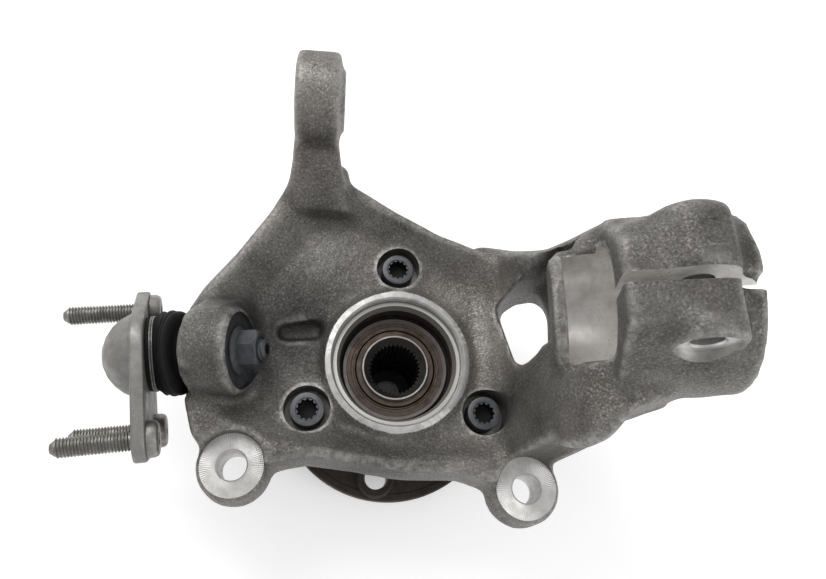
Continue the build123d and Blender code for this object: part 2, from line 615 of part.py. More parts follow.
seat_inner_r = PIN_BALL_R + SEAT_FIT
seat_outer_r = seat_inner_r + SEAT_WALL
mouth_r = sqrt(seat_inner_r ** 2 - SEAT_MOUTH_H ** 2)
plate_front_h = PLATE_BACK_H + PLATE_T
with BuildPart() as ball_joint_housing:
    with BuildSketch(CUP_PROFILE):
        with BuildLine():
            ThreePointArc((0, -DOME_H), (CUP_R * 0.75, -DOME_H * 0.66), (CUP_R, PLATE_BACK_H))
            Polyline([(CUP_R, PLATE_BACK_H), (CUP_R, plate_front_h), (CUP_RIM_R, plate_front_h),
                      (CUP_RIM_R, CUP_RIM_H), (0, CUP_RIM_H), (0, -DOME_H)])
        make_face()
    revolve(axis=axis_of(CUP_PLANE))
    with BuildSketch(CUP_PLANE.offset(PLATE_BACK_H)) as plate:
        Circle(CUP_R + 2)
        for place in STUD_PLACES:
            with Locations(place):
                Circle(LOBE_R)
        make_hull()
    extrude(amount=PLATE_T)
    with BuildSketch(CUP_PLANE.offset(PLATE_BACK_H)):
        with Locations(*STUD_PLACES):
            Circle(STUD_KNURL_R + THREAD_FIT)
    extrude(amount=PLATE_T, mode=Mode.SUBTRACT)
    with BuildSketch(CUP_PROFILE):
        with BuildLine():
            cavity = JernArc((0, -seat_outer_r), (1, 0), seat_outer_r, 90)
            Polyline([cavity @ 1, (seat_outer_r, CUP_RIM_H), (0, CUP_RIM_H), (0, -seat_outer_r)])
        make_face()
    revolve(axis=axis_of(CUP_PLANE), mode=Mode.SUBTRACT)

with BuildPart() as ball_seat:
    with BuildSketch(CUP_PROFILE):
        with BuildLine():
            outside = JernArc((0, -seat_outer_r), (1, 0), seat_outer_r, 90)
            Polyline([outside @ 1, (seat_outer_r, SEAT_MOUTH_H), (mouth_r, SEAT_MOUTH_H)])
            ThreePointArc((mouth_r, SEAT_MOUTH_H), (seat_inner_r * cos(radians(30)), -seat_inner_r / 2),
                          (0, -seat_inner_r))
            Line((0, -seat_inner_r), (0, -seat_outer_r))
        make_face()
    revolve(axis=axis_of(CUP_PLANE))

with BuildPart() as seat_retainer:
    with BuildSketch(CUP_PLANE.offset(SEAT_MOUTH_H)):
        Circle(seat_outer_r)
        Circle(RETAINER_R, mode=Mode.SUBTRACT)
    extrude(amount=CUP_RIM_H - SEAT_MOUTH_H)

stud_parts = []
for index, place in enumerate(STUD_PLACES):
    with BuildPart() as joint_stud:
        with BuildSketch(CUP_PLANE.offset(plate_front_h)):
            with Locations(place):
                Circle(STUD_HEAD_R)
        extrude(amount=STUD_HEAD_T, taper=8)
        with BuildSketch(CUP_PLANE.offset(plate_front_h)):
            with Locations(place):
                Circle(STUD_KNURL_R)
        extrude(amount=-PLATE_T)
        with BuildSketch(CUP_PLANE.offset(PLATE_BACK_H)):
            with Locations(place):
                Circle(STUD_R)
        extrude(amount=-STUD_L)
    stud_parts.append((f"joint_stud_{index + 1}", joint_stud.part))

# ---------------------------------------------------------------- boot of the ball joint
collar_r = PIN_COLLAR_R + LIP_FIT
lip_r = collar_r + LIP_WALL
base_r = CUP_RIM_R + BOOT_WALL
MID_DIR = (PIN_DIR + CUP_DIR).normalized()
MID_PLANE = Plane(origin=BALL_CENTRE, x_dir=Vector(0, 0, 1).cross(MID_DIR), z_dir=MID_DIR)


def boot_sections(inset):
    """Circles of the boot from the cup to the pin's collar, drawn in by the inset."""
    outline = [(CUP_PLANE, BOOT_BASE_H, base_r), (CUP_PLANE, BOOT_BASE_H + BOOT_BASE_L, base_r),
               (MID_PLANE, BOOT_MID_S, BOOT_R), (PIN_PLANE, BOOT_LIP_S - 1, lip_r + BOOT_WALL + 2),
               (PIN_PLANE, BOOT_LIP_S + BOOT_LIP_L, lip_r + BOOT_WALL)]
    circles = []
    for plane, height, radius in outline:
        with BuildSketch(plane.offset(height)) as ring:
            Circle(radius - inset)
        circles.append(ring.sketch)
    return circles


with BuildPart() as ball_joint_boot:
    loft(boot_sections(0), ruled=True)
    loft(boot_sections(BOOT_WALL), ruled=True, mode=Mode.SUBTRACT)

with BuildPart() as boot_clamp_ring:
    with BuildSketch(CUP_PROFILE):
        with Locations((base_r + CLAMP_WIRE_R / 2, BOOT_BASE_H + BOOT_BASE_L / 2)):
            Rectangle(CLAMP_WIRE_R, 2 * CLAMP_WIRE_R)
    revolve(axis=axis_of(CUP_PLANE))

with BuildPart() as boot_lip_ring:
    with BuildSketch(PIN_PLANE.offset(BOOT_LIP_S)):
        Circle(lip_r)
        Circle(collar_r, mode=Mode.SUBTRACT)
    extrude(amount=BOOT_LIP_L)

for name, part in [("knuckle_casting", knuckle_casting.part), ("bearing_outer_ring", bearing_outer_ring.part),
                   ("bearing_inner_ring", bearing_inner_ring.part), ("wheel_hub", wheel_hub.part),
                   ("outboard_cage", cages["outboard"].part), ("inboard_cage", cages["inboard"].part),
                   ("outboard_balls", rows["outboard"].part), ("inboard_balls", rows["inboard"].part),
                   ("outboard_seal", outboard_seal.part), ("encoder_ring", encoder_ring.part),
                   ("ball_pin", ball_pin.part), ("ball_pin_nut", ball_pin_nut.part),
                   ("ball_joint_housing", ball_joint_housing.part), ("ball_seat", ball_seat.part),
                   ("seat_retainer", seat_retainer.part), ("ball_joint_boot", ball_joint_boot.part),
                   ("boot_clamp_ring", boot_clamp_ring.part), ("boot_lip_ring", boot_lip_ring.part),
                   ("inboard_seal", inboard_seal.part)] + bolt_parts + stud_parts:
    part.label = name
    export_step(part, f"parts/{name}.step")
    print(name, round(part.volume / 1000, 2), "cm3", len(part.solids()))
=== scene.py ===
"""Looks of a steering knuckle: cast wheel carrier, bearing, splined hub and lower ball joint."""
import logging
import math
from collections.abc import Iterable, Iterator
from contextlib import contextmanager
from dataclasses import dataclass, field
from enum import Enum

import bmesh
import bpy
from mathutils import Matrix, Vector, noise


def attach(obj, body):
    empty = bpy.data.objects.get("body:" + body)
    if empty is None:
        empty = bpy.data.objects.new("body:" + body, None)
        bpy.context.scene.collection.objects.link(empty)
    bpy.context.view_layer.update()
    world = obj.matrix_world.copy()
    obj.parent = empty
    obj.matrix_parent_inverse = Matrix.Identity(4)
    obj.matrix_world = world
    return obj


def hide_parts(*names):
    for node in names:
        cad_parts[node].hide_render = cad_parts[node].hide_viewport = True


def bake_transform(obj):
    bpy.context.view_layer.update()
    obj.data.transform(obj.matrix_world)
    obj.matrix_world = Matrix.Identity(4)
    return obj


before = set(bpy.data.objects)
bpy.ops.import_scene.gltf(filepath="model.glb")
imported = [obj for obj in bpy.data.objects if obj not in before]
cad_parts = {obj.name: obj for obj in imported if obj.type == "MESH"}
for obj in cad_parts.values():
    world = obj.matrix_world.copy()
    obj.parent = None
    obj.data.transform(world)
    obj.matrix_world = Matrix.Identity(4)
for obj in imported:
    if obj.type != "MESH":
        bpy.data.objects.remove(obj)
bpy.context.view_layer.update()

MM = 0.001
WAVE_MM = 314.0  # ring spacing of the wave texture at scale 1
LOG = logging.getLogger("steering_knuckle")

Point = tuple[float, float]
Triple = tuple[float, float, float]
Socket = bpy.types.NodeSocket


# ---------------------------------------------------------------- places
def direction(tilt_z: float, tilt_y: float) -> Vector:
    """Unit vector near +X.

    Args:
        tilt_z: tilt towards +Z, in degrees.
        tilt_y: tilt towards +Y, in degrees.

    Returns:
        The direction.
    """
    up, out = math.radians(tilt_y), math.radians(tilt_z)
    return Vector((math.cos(up) * math.cos(out), math.sin(up), math.cos(up) * math.sin(out)))


def places_round(radius: float, count: int, first: float) -> list[Point]:
    """Evenly spaced places on a circle.

    Args:
        radius: the circle's radius.
        count: how many places.
        first: angle of the first, in degrees.

    Returns:
        Each place's x and y.
    """
    turns = [math.radians(first + 360.0 / count * n) for n in range(count)]
    return [(radius * math.cos(a), radius * math.sin(a)) for a in turns]


@dataclass(frozen=True)
class Station:
    """A place on the knuckle, in millimetres; local z is the axis of what is turned there."""

    origin: Triple
    x: Triple = (1.0, 0.0, 0.0)
    z: Triple = (0.0, 0.0, 1.0)

    def matrix(self) -> Matrix:
        """Turns local millimetres into metres in the part's frame."""
        z = Vector(self.z).normalized()
        x = (Vector(self.x) - z * Vector(self.x).dot(z)).normalized()
        turn = Matrix((x, z.cross(x), z)).transposed().to_4x4()
        return Matrix.Translation(Vector(self.origin) * MM) @ turn @ Matrix.Scale(MM, 4)

    def at(self, x: float, y: float, z: float) -> "Station":
        """A station moved by local millimetres."""
        return Station(tuple(self.matrix() @ Vector((x, y, z)) / MM), self.x, self.z)


BALL_CENTRE = (-133.0, -1.7, 71.5)
STRUT_AXIS = direction(12.0, 0.0)
CUP_AXIS = direction(-6.0, 8.0)
PIN_AXIS = direction(15.0, 0.0)
WHEEL = Station((0.0, 0.0, 0.0))
PIN = Station(BALL_CENTRE, (0.0, 1.0, 0.0), tuple(PIN_AXIS))
CUP = Station(BALL_CENTRE, tuple(Vector((0, 0, 1)).cross(CUP_AXIS)), tuple(CUP_AXIS))
STRUT = Station((80.0, 4.5, 148.5), (0.0, 1.0, 0.0), tuple(STRUT_AXIS))
PINCH = Station(STRUT.at(0.0, 35.5, 37.0).origin, tuple(STRUT_AXIS), (0.0, 1.0, 0.0))
TIE_ROD = Station((-60.5, 135.0, 111.5), (0.0, 1.0, 0.0), (1.0, 0.0, 0.0))
BOLT_PLACES = places_round(54.5, 3, 90.0)
EARS = (Station((-82.5, -57.0, 71.5)), Station((67.0, -66.5, 71.5)))


# ---------------------------------------------------------------- finishes
class NodeSheet:
    """Short hand for the node tree of one finish."""

    def __init__(self, name: str) -> None:
        """Starts an empty tree with its shader and output."""
        self.material = bpy.data.materials.new(name)
        self.material.use_nodes = True
        self.tree = self.material.node_tree
        self.tree.nodes.clear()
        self.shader = self.add("ShaderNodeBsdfPrincipled")
        out = self.add("ShaderNodeOutputMaterial")
        self.join(self.shader.outputs["BSDF"], out.inputs["Surface"])
        self.place = self.add("ShaderNodeTexCoord").outputs["Object"]

    def add(self, kind: str, *inputs: object, **values: object) -> bpy.types.Node:
        """Adds a node, feeds its first sockets in order, and sets properties or sockets by name."""
        node = self.tree.nodes.new(kind)
        for key, value in values.items():
            if hasattr(node, key):
                setattr(node, key, value)
            else:
                self.join(value, node.inputs[key.replace("_", " ")])
        for value, socket in zip(inputs, node.inputs):
            self.join(value, socket)
        return node

    def join(self, value: object, into: Socket) -> None:
        """Links a socket to another one, or gives that a fixed number, vector or colour."""
        if isinstance(value, Socket):
            self.tree.links.new(value, into)
        else:
            into.default_value = (*value, 1.0) if isinstance(value, tuple) else value

    def turned_place(self, station: Station) -> Socket:
        """Object coordinates in a station's own frame, in metres."""
        spot = station.matrix()
        return self.add(
            "ShaderNodeMapping", vector_type="TEXTURE", Vector=self.place,
            Location=spot.to_translation(), Rotation=spot.to_euler()).outputs["Vector"]

    def noise(self, size_mm: float, detail: float, roughness: float) -> Socket:
        """Noise whose lumps are about the given size across, centred on a half."""
        return self.add(
            "ShaderNodeTexNoise", Scale=1000.0 / size_mm, Detail=detail, Roughness=roughness,
            Vector=self.place).outputs["Fac"]

    def ramp(self, value: Socket, stops: list[tuple[float, tuple]]) -> Socket:
        """Maps a value onto colours."""
        node = self.add("ShaderNodeValToRGB", value)
        bar = node.color_ramp.elements
        while len(bar) < len(stops):
            bar.new(0.5)
        for element, (at, colour) in zip(bar, stops):
            element.position = at
            element.color = (*colour, 1.0)
        return node.outputs["Color"]

    def band(self, value: Socket, low: float, high: float, to_low: float = 0.0,
             to_high: float = 1.0) -> Socket:
        """Maps a value from one range to another, clamped."""
        return self.add(
            "ShaderNodeMapRange", value, low, high, to_low, to_high, clamp=True).outputs["Result"]

    def blend(self, share: Socket, a: object, b: object) -> Socket:
        """Mixes two colours, each a socket or a fixed colour."""
        node = self.add("ShaderNodeMix", share, data_type="RGBA")
        self.join(a, node.inputs[6])
        self.join(b, node.inputs[7])
        return node.outputs[2]

    def math(self, operation: str, a: Socket, b: object) -> Socket:
        """One math operation on a socket and a socket or number."""
        return self.add("ShaderNodeMath", a, b, operation=operation).outputs[0]

    def paint_light_and_shade(self, colour: Socket, spots: tuple) -> Socket:
        """Painted light and shade: darkens or lightens a colour round places, each with two
        distances in mm and a factor.
        """
        for centre, near, far, factor in spots:
            reach = self.add(
                "ShaderNodeVectorMath", self.place, Vector(centre) * MM, operation="DISTANCE")
            share = self.band(reach.outputs["Value"], near * MM, far * MM, factor)
            scaled = self.add("ShaderNodeVectorMath", colour, operation="SCALE", Scale=share)
            colour = scaled.outputs["Vector"]
        return colour

    def spokes(self, station: Station, count: int) -> Socket:
        """Fine ribs that run out from a station's axis."""
        around = self.add(
            "ShaderNodeTexGradient", self.turned_place(station), gradient_type="RADIAL")
        turned = self.math("MULTIPLY", around.outputs["Fac"], math.tau * count)
        return self.math("SINE", turned, 0.0)

    def attribute(self, name: str) -> Socket:
        """A number stored on the piece's own mesh."""
        return self.add("ShaderNodeAttribute", attribute_name=name).outputs["Fac"]

    def bump(self, height: Socket, depth_mm: float, under: Socket | None = None) -> Socket:
        """Adds relief of the given depth, over another relief if there is one."""
        node = self.add("ShaderNodeBump", Strength=1.0, Distance=depth_mm * MM, Height=height)
        if under is not None:
            self.join(under, node.inputs["Normal"])
        self.join(node.outputs["Normal"], self.shader.inputs["Normal"])
        return node.outputs["Normal"]

    def rings(self, station: Station, pitch_mm: float, wobble: float = 0.4) -> Socket:
        """Fine rings of a turning tool round a station's axis."""
        return self.add(
            "ShaderNodeTexWave", self.turned_place(station), wave_type="RINGS", rings_direction="Z",
            Scale=WAVE_MM / pitch_mm, Distortion=wobble, Detail=2.0,
            Detail_Scale=1.0).outputs["Fac"]

    def surface(self, colour: object, metallic: float, roughness: object) -> bpy.types.Material:
        """Sets the shader's main sockets and returns the finished material."""
        self.join(colour, self.shader.inputs["Base Color"])
        self.join(metallic, self.shader.inputs["Metallic"])
        self.join(roughness, self.shader.inputs["Roughness"])
        return self.material


@dataclass(frozen=True)
class SandCast:
    """Grainy sand-cast aluminium; painted highlight (partly wear) on edges, painted shade in
    hollows.
    """

    name: str = "sand_cast_aluminium"
    dark: Triple = (0.085, 0.078, 0.069)
    middle: Triple = (0.138, 0.129, 0.118)
    pale: Triple = (0.205, 0.196, 0.184)
    speck: Triple = (0.44, 0.43, 0.41)
    # paler colour of outward edges: painted highlight, partly wear
    edge_highlight_and_wear: Triple = (0.46, 0.445, 0.425)
    pit: Triple = (0.040, 0.035, 0.030)
    grain_mm: float = 1.1
    # painted light and shade: a factor below 1 darkens, above 1 lightens the colour round each
    # place
    spots: tuple = (
        ((-58.0, 18.0, 72.0), 12.0, 50.0, 0.24), ((-95.0, 0.0, 80.0), 15.0, 42.0, 0.62),
        ((-20.0, -58.0, 75.0), 15.0, 50.0, 0.55), ((44.0, 22.0, 70.0), 14.0, 44.0, 1.75),
        ((-55.0, 122.0, 120.0), 18.0, 60.0, 1.40), ((105.0, 0.0, 200.0), 30.0, 62.0, 0.82))

    def material(self) -> bpy.types.Material:
        """Builds the material."""
        s = NodeSheet(self.name)
        patches = s.noise(30.0, 5.0, 0.62)
        grain = s.noise(self.grain_mm, 2.0, 0.65)
        lumps = s.noise(3.4, 3.0, 0.6)
        colour = s.ramp(patches, [(0.34, self.dark), (0.5, self.middle), (0.70, self.pale)])
        colour = s.blend(s.band(grain, 0.54, 0.70, 0.0, 0.40), colour, self.speck)
        colour = s.blend(s.band(grain, 0.45, 0.31, 0.0, 0.55), colour, self.pit)
        hollow = s.attribute("hollow")
        # painted shade: the colour goes towards the dark tone in hollows
        colour = s.blend(s.band(hollow, 0.05, 0.7, 0.0, 0.7), colour, self.dark)
        # painted light and shade round the listed places
        colour = s.paint_light_and_shade(colour, self.spots)
        # painted highlight, partly wear: paler on outward edges, in lumps
        edge_highlight_and_wear = s.math(
            "MULTIPLY", s.band(hollow, -0.18, -0.75, 0.0, 0.9),
            s.band(lumps, 0.32, 0.66, 0.15, 1.0))
        colour = s.blend(edge_highlight_and_wear, colour, self.edge_highlight_and_wear)
        relief = s.bump(lumps, 0.5)
        relief = s.bump(grain, 0.30, relief)
        return s.surface(colour, 0.5, s.band(grain, 0.3, 0.7, 0.62, 0.42))


@dataclass(frozen=True)
class Machined:
    """Bright milled or turned aluminium with the tool's rings."""

    name: str
    station: Station
    pitch_mm: float = 0.5
    bright: Triple = (0.62, 0.62, 0.61)
    dull: Triple = (0.36, 0.34, 0.32)
    roughness: float = 0.32
    metallic: float = 0.85
    ribs: int = 0

    def material(self) -> bpy.types.Material:
        """Builds the material."""
        s = NodeSheet(self.name)
        rings = s.rings(self.station, self.pitch_mm)
        patches = s.noise(9.0, 4.0, 0.65)
        colour = s.blend(s.band(patches, 0.4, 0.66, 0.0, 0.8), self.bright, self.dull)
        colour = s.blend(s.band(rings, 0.0, 1.0, 0.0, 0.25), colour, self.dull)
        relief = s.bump(rings, 0.03)
        if self.ribs:
            spokes = s.spokes(self.station, self.ribs)
            colour = s.blend(s.band(spokes, 0.1, 0.9, 0.0, 0.45), colour, self.dull)
            s.bump(spokes, 0.06, relief)
        return s.surface(colour, self.metallic, s.band(
            patches, 0.3, 0.7, self.roughness, self.roughness + 0.18))


@dataclass(frozen=True)
class Metal:
    """Steel with mottling: one colour pair, a roughness and a fine grain."""

    name: str
    colour: Triple
    stain: Triple
    roughness: float = 0.4
    metallic: float = 0.8
    patch_mm: float = 6.0
    grain_mm: float = 0.6
    grain_depth_mm: float = 0.06
    stain_share: float = 0.6

    def material(self) -> bpy.types.Material:
        """Builds the material."""
        s = NodeSheet(self.name)
        patches = s.noise(self.patch_mm, 4.0, 0.62)
        grain = s.noise(self.grain_mm, 2.0, 0.6)
        colour = s.blend(
            s.band(patches, 0.38, 0.66, 0.0, self.stain_share), self.colour, self.stain)
        colour = s.blend(s.band(grain, 0.45, 0.75, 0.0, 0.3), colour, self.stain)
        s.bump(grain, self.grain_depth_mm)
        return s.surface(colour, self.metallic, s.band(
            patches, 0.3, 0.7, self.roughness, self.roughness + 0.2))


@dataclass(frozen=True)
class TurnedSteel:
    """Turned or ground steel with rings about an axis, and stain."""

    name: str
    station: Station
    colour: Triple = (0.50, 0.48, 0.46)
    stain: Triple = (0.16, 0.12, 0.09)
    stain_share: float = 0.45
    pitch_mm: float = 0.4
    roughness: float = 0.28

    def material(self) -> bpy.types.Material:
        """Builds the material."""
        s = NodeSheet(self.name)
        rings = s.rings(self.station, self.pitch_mm, 0.2)
        patches = s.noise(7.0, 5.0, 0.65)
        colour = s.blend(
            s.band(patches, 0.42, 0.68, 0.0, self.stain_share), self.colour, self.stain)
        s.bump(rings, 0.02)
        return s.surface(colour, 0.9, s.band(
            patches, 0.3, 0.7, self.roughness, self.roughness + 0.25))


@dataclass(frozen=True)
class Rubber:
    """Black moulded rubber or plastic with dust."""

    name: str
    colour: Triple = (0.018, 0.018, 0.018)
    dust: Triple = (0.085, 0.08, 0.072)
    roughness: float = 0.55

    def material(self) -> bpy.types.Material:
        """Builds the material."""
        s = NodeSheet(self.name)
        dust = s.noise(5.0, 5.0, 0.7)
        grain = s.noise(0.5, 2.0, 0.6)
        colour = s.blend(s.band(dust, 0.5, 0.8, 0.0, 0.6), self.colour, self.dust)
        s.bump(grain, 0.03)
        s.shader.inputs["Specular IOR Level"].default_value = 0.2
        return s.surface(colour, 0.0, s.band(
            dust, 0.35, 0.7, self.roughness, self.roughness + 0.25))


class Finish(Enum):
    """The finishes on the knuckle, each built once."""

    CAST = SandCast()
    RIM = Machined("turned_rim", WHEEL, 0.45)
    # one faced finish in two copies: the right ear is painted brighter than the left as painted
    # light
    LEFT_EAR = Machined(
        "faced_ear_left", EARS[0], 0.9, (0.74, 0.74, 0.73), (0.46, 0.44, 0.42), metallic=0.6,
        ribs=90)
    RIGHT_EAR = Machined(
        "faced_ear_right", EARS[1], 0.9, (0.80, 0.80, 0.79), (0.52, 0.50, 0.48), metallic=0.6,
        ribs=90)
    TIE_ROD_PAD = Machined("faced_arm_pad", TIE_ROD, 0.8)
    NUT_SEAT = Machined("milled_nut_seat", PIN, 1.2, (0.16, 0.17, 0.185), (0.075, 0.078, 0.082))
    STRUT_BORE = Machined(
        "bored_strut_seat", STRUT, 0.6, (0.80, 0.79, 0.77), (0.50, 0.47, 0.45), 0.26, 0.6)
    PINCH_SEAT = Machined("milled_pinch_seat", PINCH, 0.7)
    BOLT_SEAT = Machined(
        "bolt_seat", WHEEL, 0.8, bright=(0.34, 0.33, 0.31), dull=(0.12, 0.11, 0.10))
    BEARING = TurnedSteel("bearing_steel", WHEEL)
    RACE = TurnedSteel("ground_race", WHEEL, (0.36, 0.34, 0.34), roughness=0.22)
    # painted shade: near black for the deep gap inside the outer ring
    BEARING_BORE = Metal(
        "bearing_bore_painted_shade", (0.045, 0.036, 0.031), (0.025, 0.019, 0.016), 0.35, 0.6, 5.0)
    CONE = TurnedSteel("oiled_cone", WHEEL, (0.11, 0.085, 0.07), (0.035, 0.026, 0.021), 0.7)
    COLLAR = TurnedSteel("rolled_collar", WHEEL, (0.46, 0.44, 0.42), (0.14, 0.11, 0.09), 0.5)
    # painted shade: near black for the shade deep in the splined bore
    SPLINES = Metal("spline_bore_painted_shade", (0.020, 0.019, 0.019), (0.05, 0.045, 0.040), 0.42, 0.6)
    HUB = Metal("hub_oxide", (0.064, 0.050, 0.042), (0.026, 0.022, 0.020), 0.5, 0.6, 9.0, 0.8, 0.08)
    HUB_TURNED = TurnedSteel("turned_hub", WHEEL, (0.30, 0.27, 0.25), (0.10, 0.07, 0.05), 0.7)
    BOLT = Metal(
        "bolt_phosphate", (0.095, 0.10, 0.11), (0.17, 0.17, 0.175), 0.38, 0.7, 3.0, 0.5, 0.05)
    SOCKET = Metal(
        "bolt_socket", (0.012, 0.012, 0.013), (0.03, 0.03, 0.03), 0.5, 0.6, 3.0, 0.5, 0.05)
    PLATE = Metal(
        "coated_forging", (0.30, 0.295, 0.285), (0.17, 0.16, 0.145), 0.42, 0.65, 8.0, 0.7, 0.10)
    STUD = Metal("rolled_stud", (0.34, 0.33, 0.31), (0.12, 0.11, 0.095), 0.34, 0.8, 4.0, 0.5, 0.04)
    PIN_GROUND = TurnedSteel("ground_pin", PIN, (0.5, 0.5, 0.49), (0.25, 0.2, 0.16), 0.4)
    NUT = Metal(
        "nut_coating", (0.095, 0.10, 0.11), (0.045, 0.045, 0.047), 0.45, 0.7, 4.0, 0.5, 0.05)
    BOOT = Rubber("boot_rubber", (0.005, 0.005, 0.005), (0.018, 0.017, 0.016))
    SEAL = Rubber("seal_rubber", (0.022, 0.020, 0.018))
    ENCODER = TurnedSteel(
        "encoder_steel", WHEEL, (0.23, 0.205, 0.205), (0.12, 0.10, 0.10), 0.6, 0.9)
    CAGE = Rubber("cage_plastic", (0.16, 0.14, 0.10), (0.22, 0.2, 0.16), 0.4)
    ACETAL = Rubber("seat_acetal", (0.62, 0.60, 0.55), (0.5, 0.47, 0.42), 0.35)
    WIRE = Metal("spring_wire", (0.25, 0.25, 0.25), (0.12, 0.11, 0.10), 0.35, 0.9, 2.0, 0.4, 0.02)

    def built(self) -> bpy.types.Material:
        """The finish's material, made the first time that it is asked for."""
        known = bpy.data.materials.get(self.value.name)
        return known or self.value.material()


# ---------------------------------------------------------------- forms
CREASE = 32.0  # edges sharper than this many degrees stay sharp


@contextmanager
def edited(mesh: bpy.types.Mesh) -> Iterator[bmesh.types.BMesh]:
    """Lends a mesh's points and faces for an edit and writes them back."""
    bm = bmesh.new()
    bm.from_mesh(mesh)
    yield bm
    bm.to_mesh(mesh)
    bm.free()


def wear(mesh: bpy.types.Mesh, finishes: Iterable[Finish]) -> None:
    """Gives a mesh its finishes in slot order; one that had some falls back to its first slot."""
    if len(mesh.materials):
        mesh.materials.clear()
    for finish in finishes:
        mesh.materials.append(finish.built())


def shown(name: str, data: object, place: Matrix | None = None) -> bpy.types.Object:
    """Puts a mesh, lamp or camera into the scene as a new object."""
    made = bpy.data.objects.new(name, data)
    if place is not None:
        made.matrix_world = place
    bpy.context.scene.collection.objects.link(made)
    return made


class Form:
    """A mesh being shaped with bmesh operators in a station's frame, in millimetres."""

    def __init__(self, station: Station = WHEEL) -> None:
        """Starts an empty form at a station."""
        self.station = station
        self.bm = bmesh.new()

    @contextmanager
    def adding(self, material: int) -> Iterator[set[bmesh.types.BMFace]]:
        """Turns the faces made meanwhile outwards and gives them a slot; lends the older ones."""
        before = set(self.bm.faces)
        yield before
        faces = self.newer(before)
        bmesh.ops.recalc_face_normals(self.bm, faces=faces)
        for face in faces:
            face.material_index = material

    def newer(self, before: set[bmesh.types.BMFace]) -> list[bmesh.types.BMFace]:
        """The faces that weren't there before."""
        return [f for f in self.bm.faces if f not in before]

    def wind(self, line: list[Point], steps: int, rise: float, merge: float,
             before: set[bmesh.types.BMFace]) -> None:
        """Winds a line of radii and heights one turn round the axis, then merges points that meet.

        Args:
            line: the corners; without a rise the last joins the first.
            steps: flats in one turn.
            rise: how far the turn climbs.
            merge: distance below which points are one.
            before: the faces to leave alone.
        """
        corners = [self.bm.verts.new((r, 0.0, z)) for r, z in line]
        after = corners[1:] if rise else corners[1:] + corners[:1]
        edges = [self.bm.edges.new(pair) for pair in zip(corners, after)]
        bmesh.ops.spin(
            self.bm, geom=corners + edges, cent=(0, 0, 0), axis=(0, 0, 1),
            dvec=(0, 0, rise / steps), angle=math.tau, steps=steps, use_merge=not rise,
            use_normal_flip=False, use_duplicate=False)
        points = {v for f in self.newer(before) for v in f.verts}
        bmesh.ops.remove_doubles(self.bm, verts=list(points), dist=merge)

    def turn(self, profile: list[Point], steps: int = 96, material: int = 0) -> "Form":
        """Spins a closed half profile round the axis.

        Args:
            profile: radius and height of each corner, in order round the profile.
            steps: flats round the circle.
            material: slot of the new faces.

        Returns:
            The form.
        """
        with self.adding(material) as before:
            self.wind(profile, steps, 0.0, 1e-4, before)
            loose = [v for v in self.bm.verts if not v.link_faces]
            bmesh.ops.delete(self.bm, geom=loose, context="VERTS")
        return self

    def drum(self, radius: float, low: float, high: float, at: Point = (0.0, 0.0), steps: int = 64,
             material: int = 0, top_radius: float | None = None) -> "Form":
        """Adds a capped cylinder or cone between two heights."""
        spot = Matrix.Translation((at[0], at[1], (low + high) / 2))
        with self.adding(material):
            bmesh.ops.create_cone(
                self.bm, cap_ends=True, cap_tris=False, segments=steps, radius1=radius,
                radius2=radius if top_radius is None else top_radius, depth=high - low, matrix=spot)
        return self

    def block(self, low: Triple, high: Triple, material: int = 0) -> "Form":
        """Adds a box between two corners."""
        size = [b - a for a, b in zip(low, high)]
        middle = Matrix.Translation([(a + b) / 2 for a, b in zip(low, high)])
        with self.adding(material):
            bmesh.ops.create_cube(self.bm, size=1.0, matrix=middle @ Matrix.Diagonal((*size, 1.0)))
        return self

    def hull(self, circles: list[tuple[Point, float]], low: float, high: float,
             steps: int = 64) -> "Form":
        """Adds a plate whose outline wraps round circles."""
        verts = []
        for (x, y), radius in circles:
            made = bmesh.ops.create_circle(
                self.bm, cap_ends=False, segments=steps, radius=radius,
                matrix=Matrix.Translation((x, y, low)))
            verts += made["verts"]
        for vert in list(verts):
            verts.append(self.bm.verts.new((vert.co.x, vert.co.y, high)))
        for edge in list({e for v in verts for e in v.link_edges}):
            self.bm.edges.remove(edge)
        made = bmesh.ops.convex_hull(self.bm, input=verts, use_existing_faces=False)
        spare = made["geom_interior"] + made["geom_unused"]
        inside = [g for g in spare if isinstance(g, bmesh.types.BMVert)]
        bmesh.ops.delete(self.bm, geom=list(set(inside)), context="VERTS")
        bmesh.ops.dissolve_limit(
            self.bm, angle_limit=0.002, use_dissolve_boundaries=False, verts=list(self.bm.verts),
            edges=list(self.bm.edges), delimit=set())
        bmesh.ops.recalc_face_normals(self.bm, faces=list(self.bm.faces))
        return self

    def round_edges(self, width: float, segments: int = 2, sharper_than: float = 28.0) -> "Form":
        """Bevels every edge sharper than an angle."""
        limit = math.radians(sharper_than)
        edges = [
            e for e in self.bm.edges if len(e.link_faces) == 2 and e.calc_face_angle(0.0) > limit]
        bmesh.ops.bevel(
            self.bm, geom=edges, offset=width, offset_type="OFFSET", segments=segments, profile=0.5,
            affect="EDGES", material=-1, clamp_overlap=True)
        return self

    def prism(self, radii: tuple[float, ...], repeats: int, low: float, high: float,
              turn: float = 0.0, material: int = 0) -> "Form":
        """Adds a straight prism whose outline repeats a few radii, as splines and flats do.

        Args:
            radii: distances of one repeat's corners from the axis.
            repeats: how many times they go round.
            low: height of the lower end.
            high: height of the upper end.
            turn: angle of the first corner, in degrees.
            material: slot of the new faces.

        Returns:
            The form.
        """
        count = len(radii) * repeats
        turns = [math.radians(turn) + math.tau * n / count for n in range(count)]
        outline = [(
            radii[n % len(radii)] * math.cos(a), radii[n % len(radii)] * math.sin(a))
            for n, a in enumerate(turns)]
        return self.slab(outline, low, high, material)

    def slab(self, outline: list[Point], low: float, high: float, material: int = 0) -> "Form":
        """Adds a plate of any outline between two heights."""
        with self.adding(material):
            cap = self.bm.faces.new([self.bm.verts.new((x, y, low)) for x, y in outline])
            raised = bmesh.ops.extrude_face_region(self.bm, geom=[cap], use_keep_orig=True)
            top = [g for g in raised["geom"] if isinstance(g, bmesh.types.BMVert)]
            bmesh.ops.translate(self.bm, verts=top, vec=(0, 0, high - low))
        return self

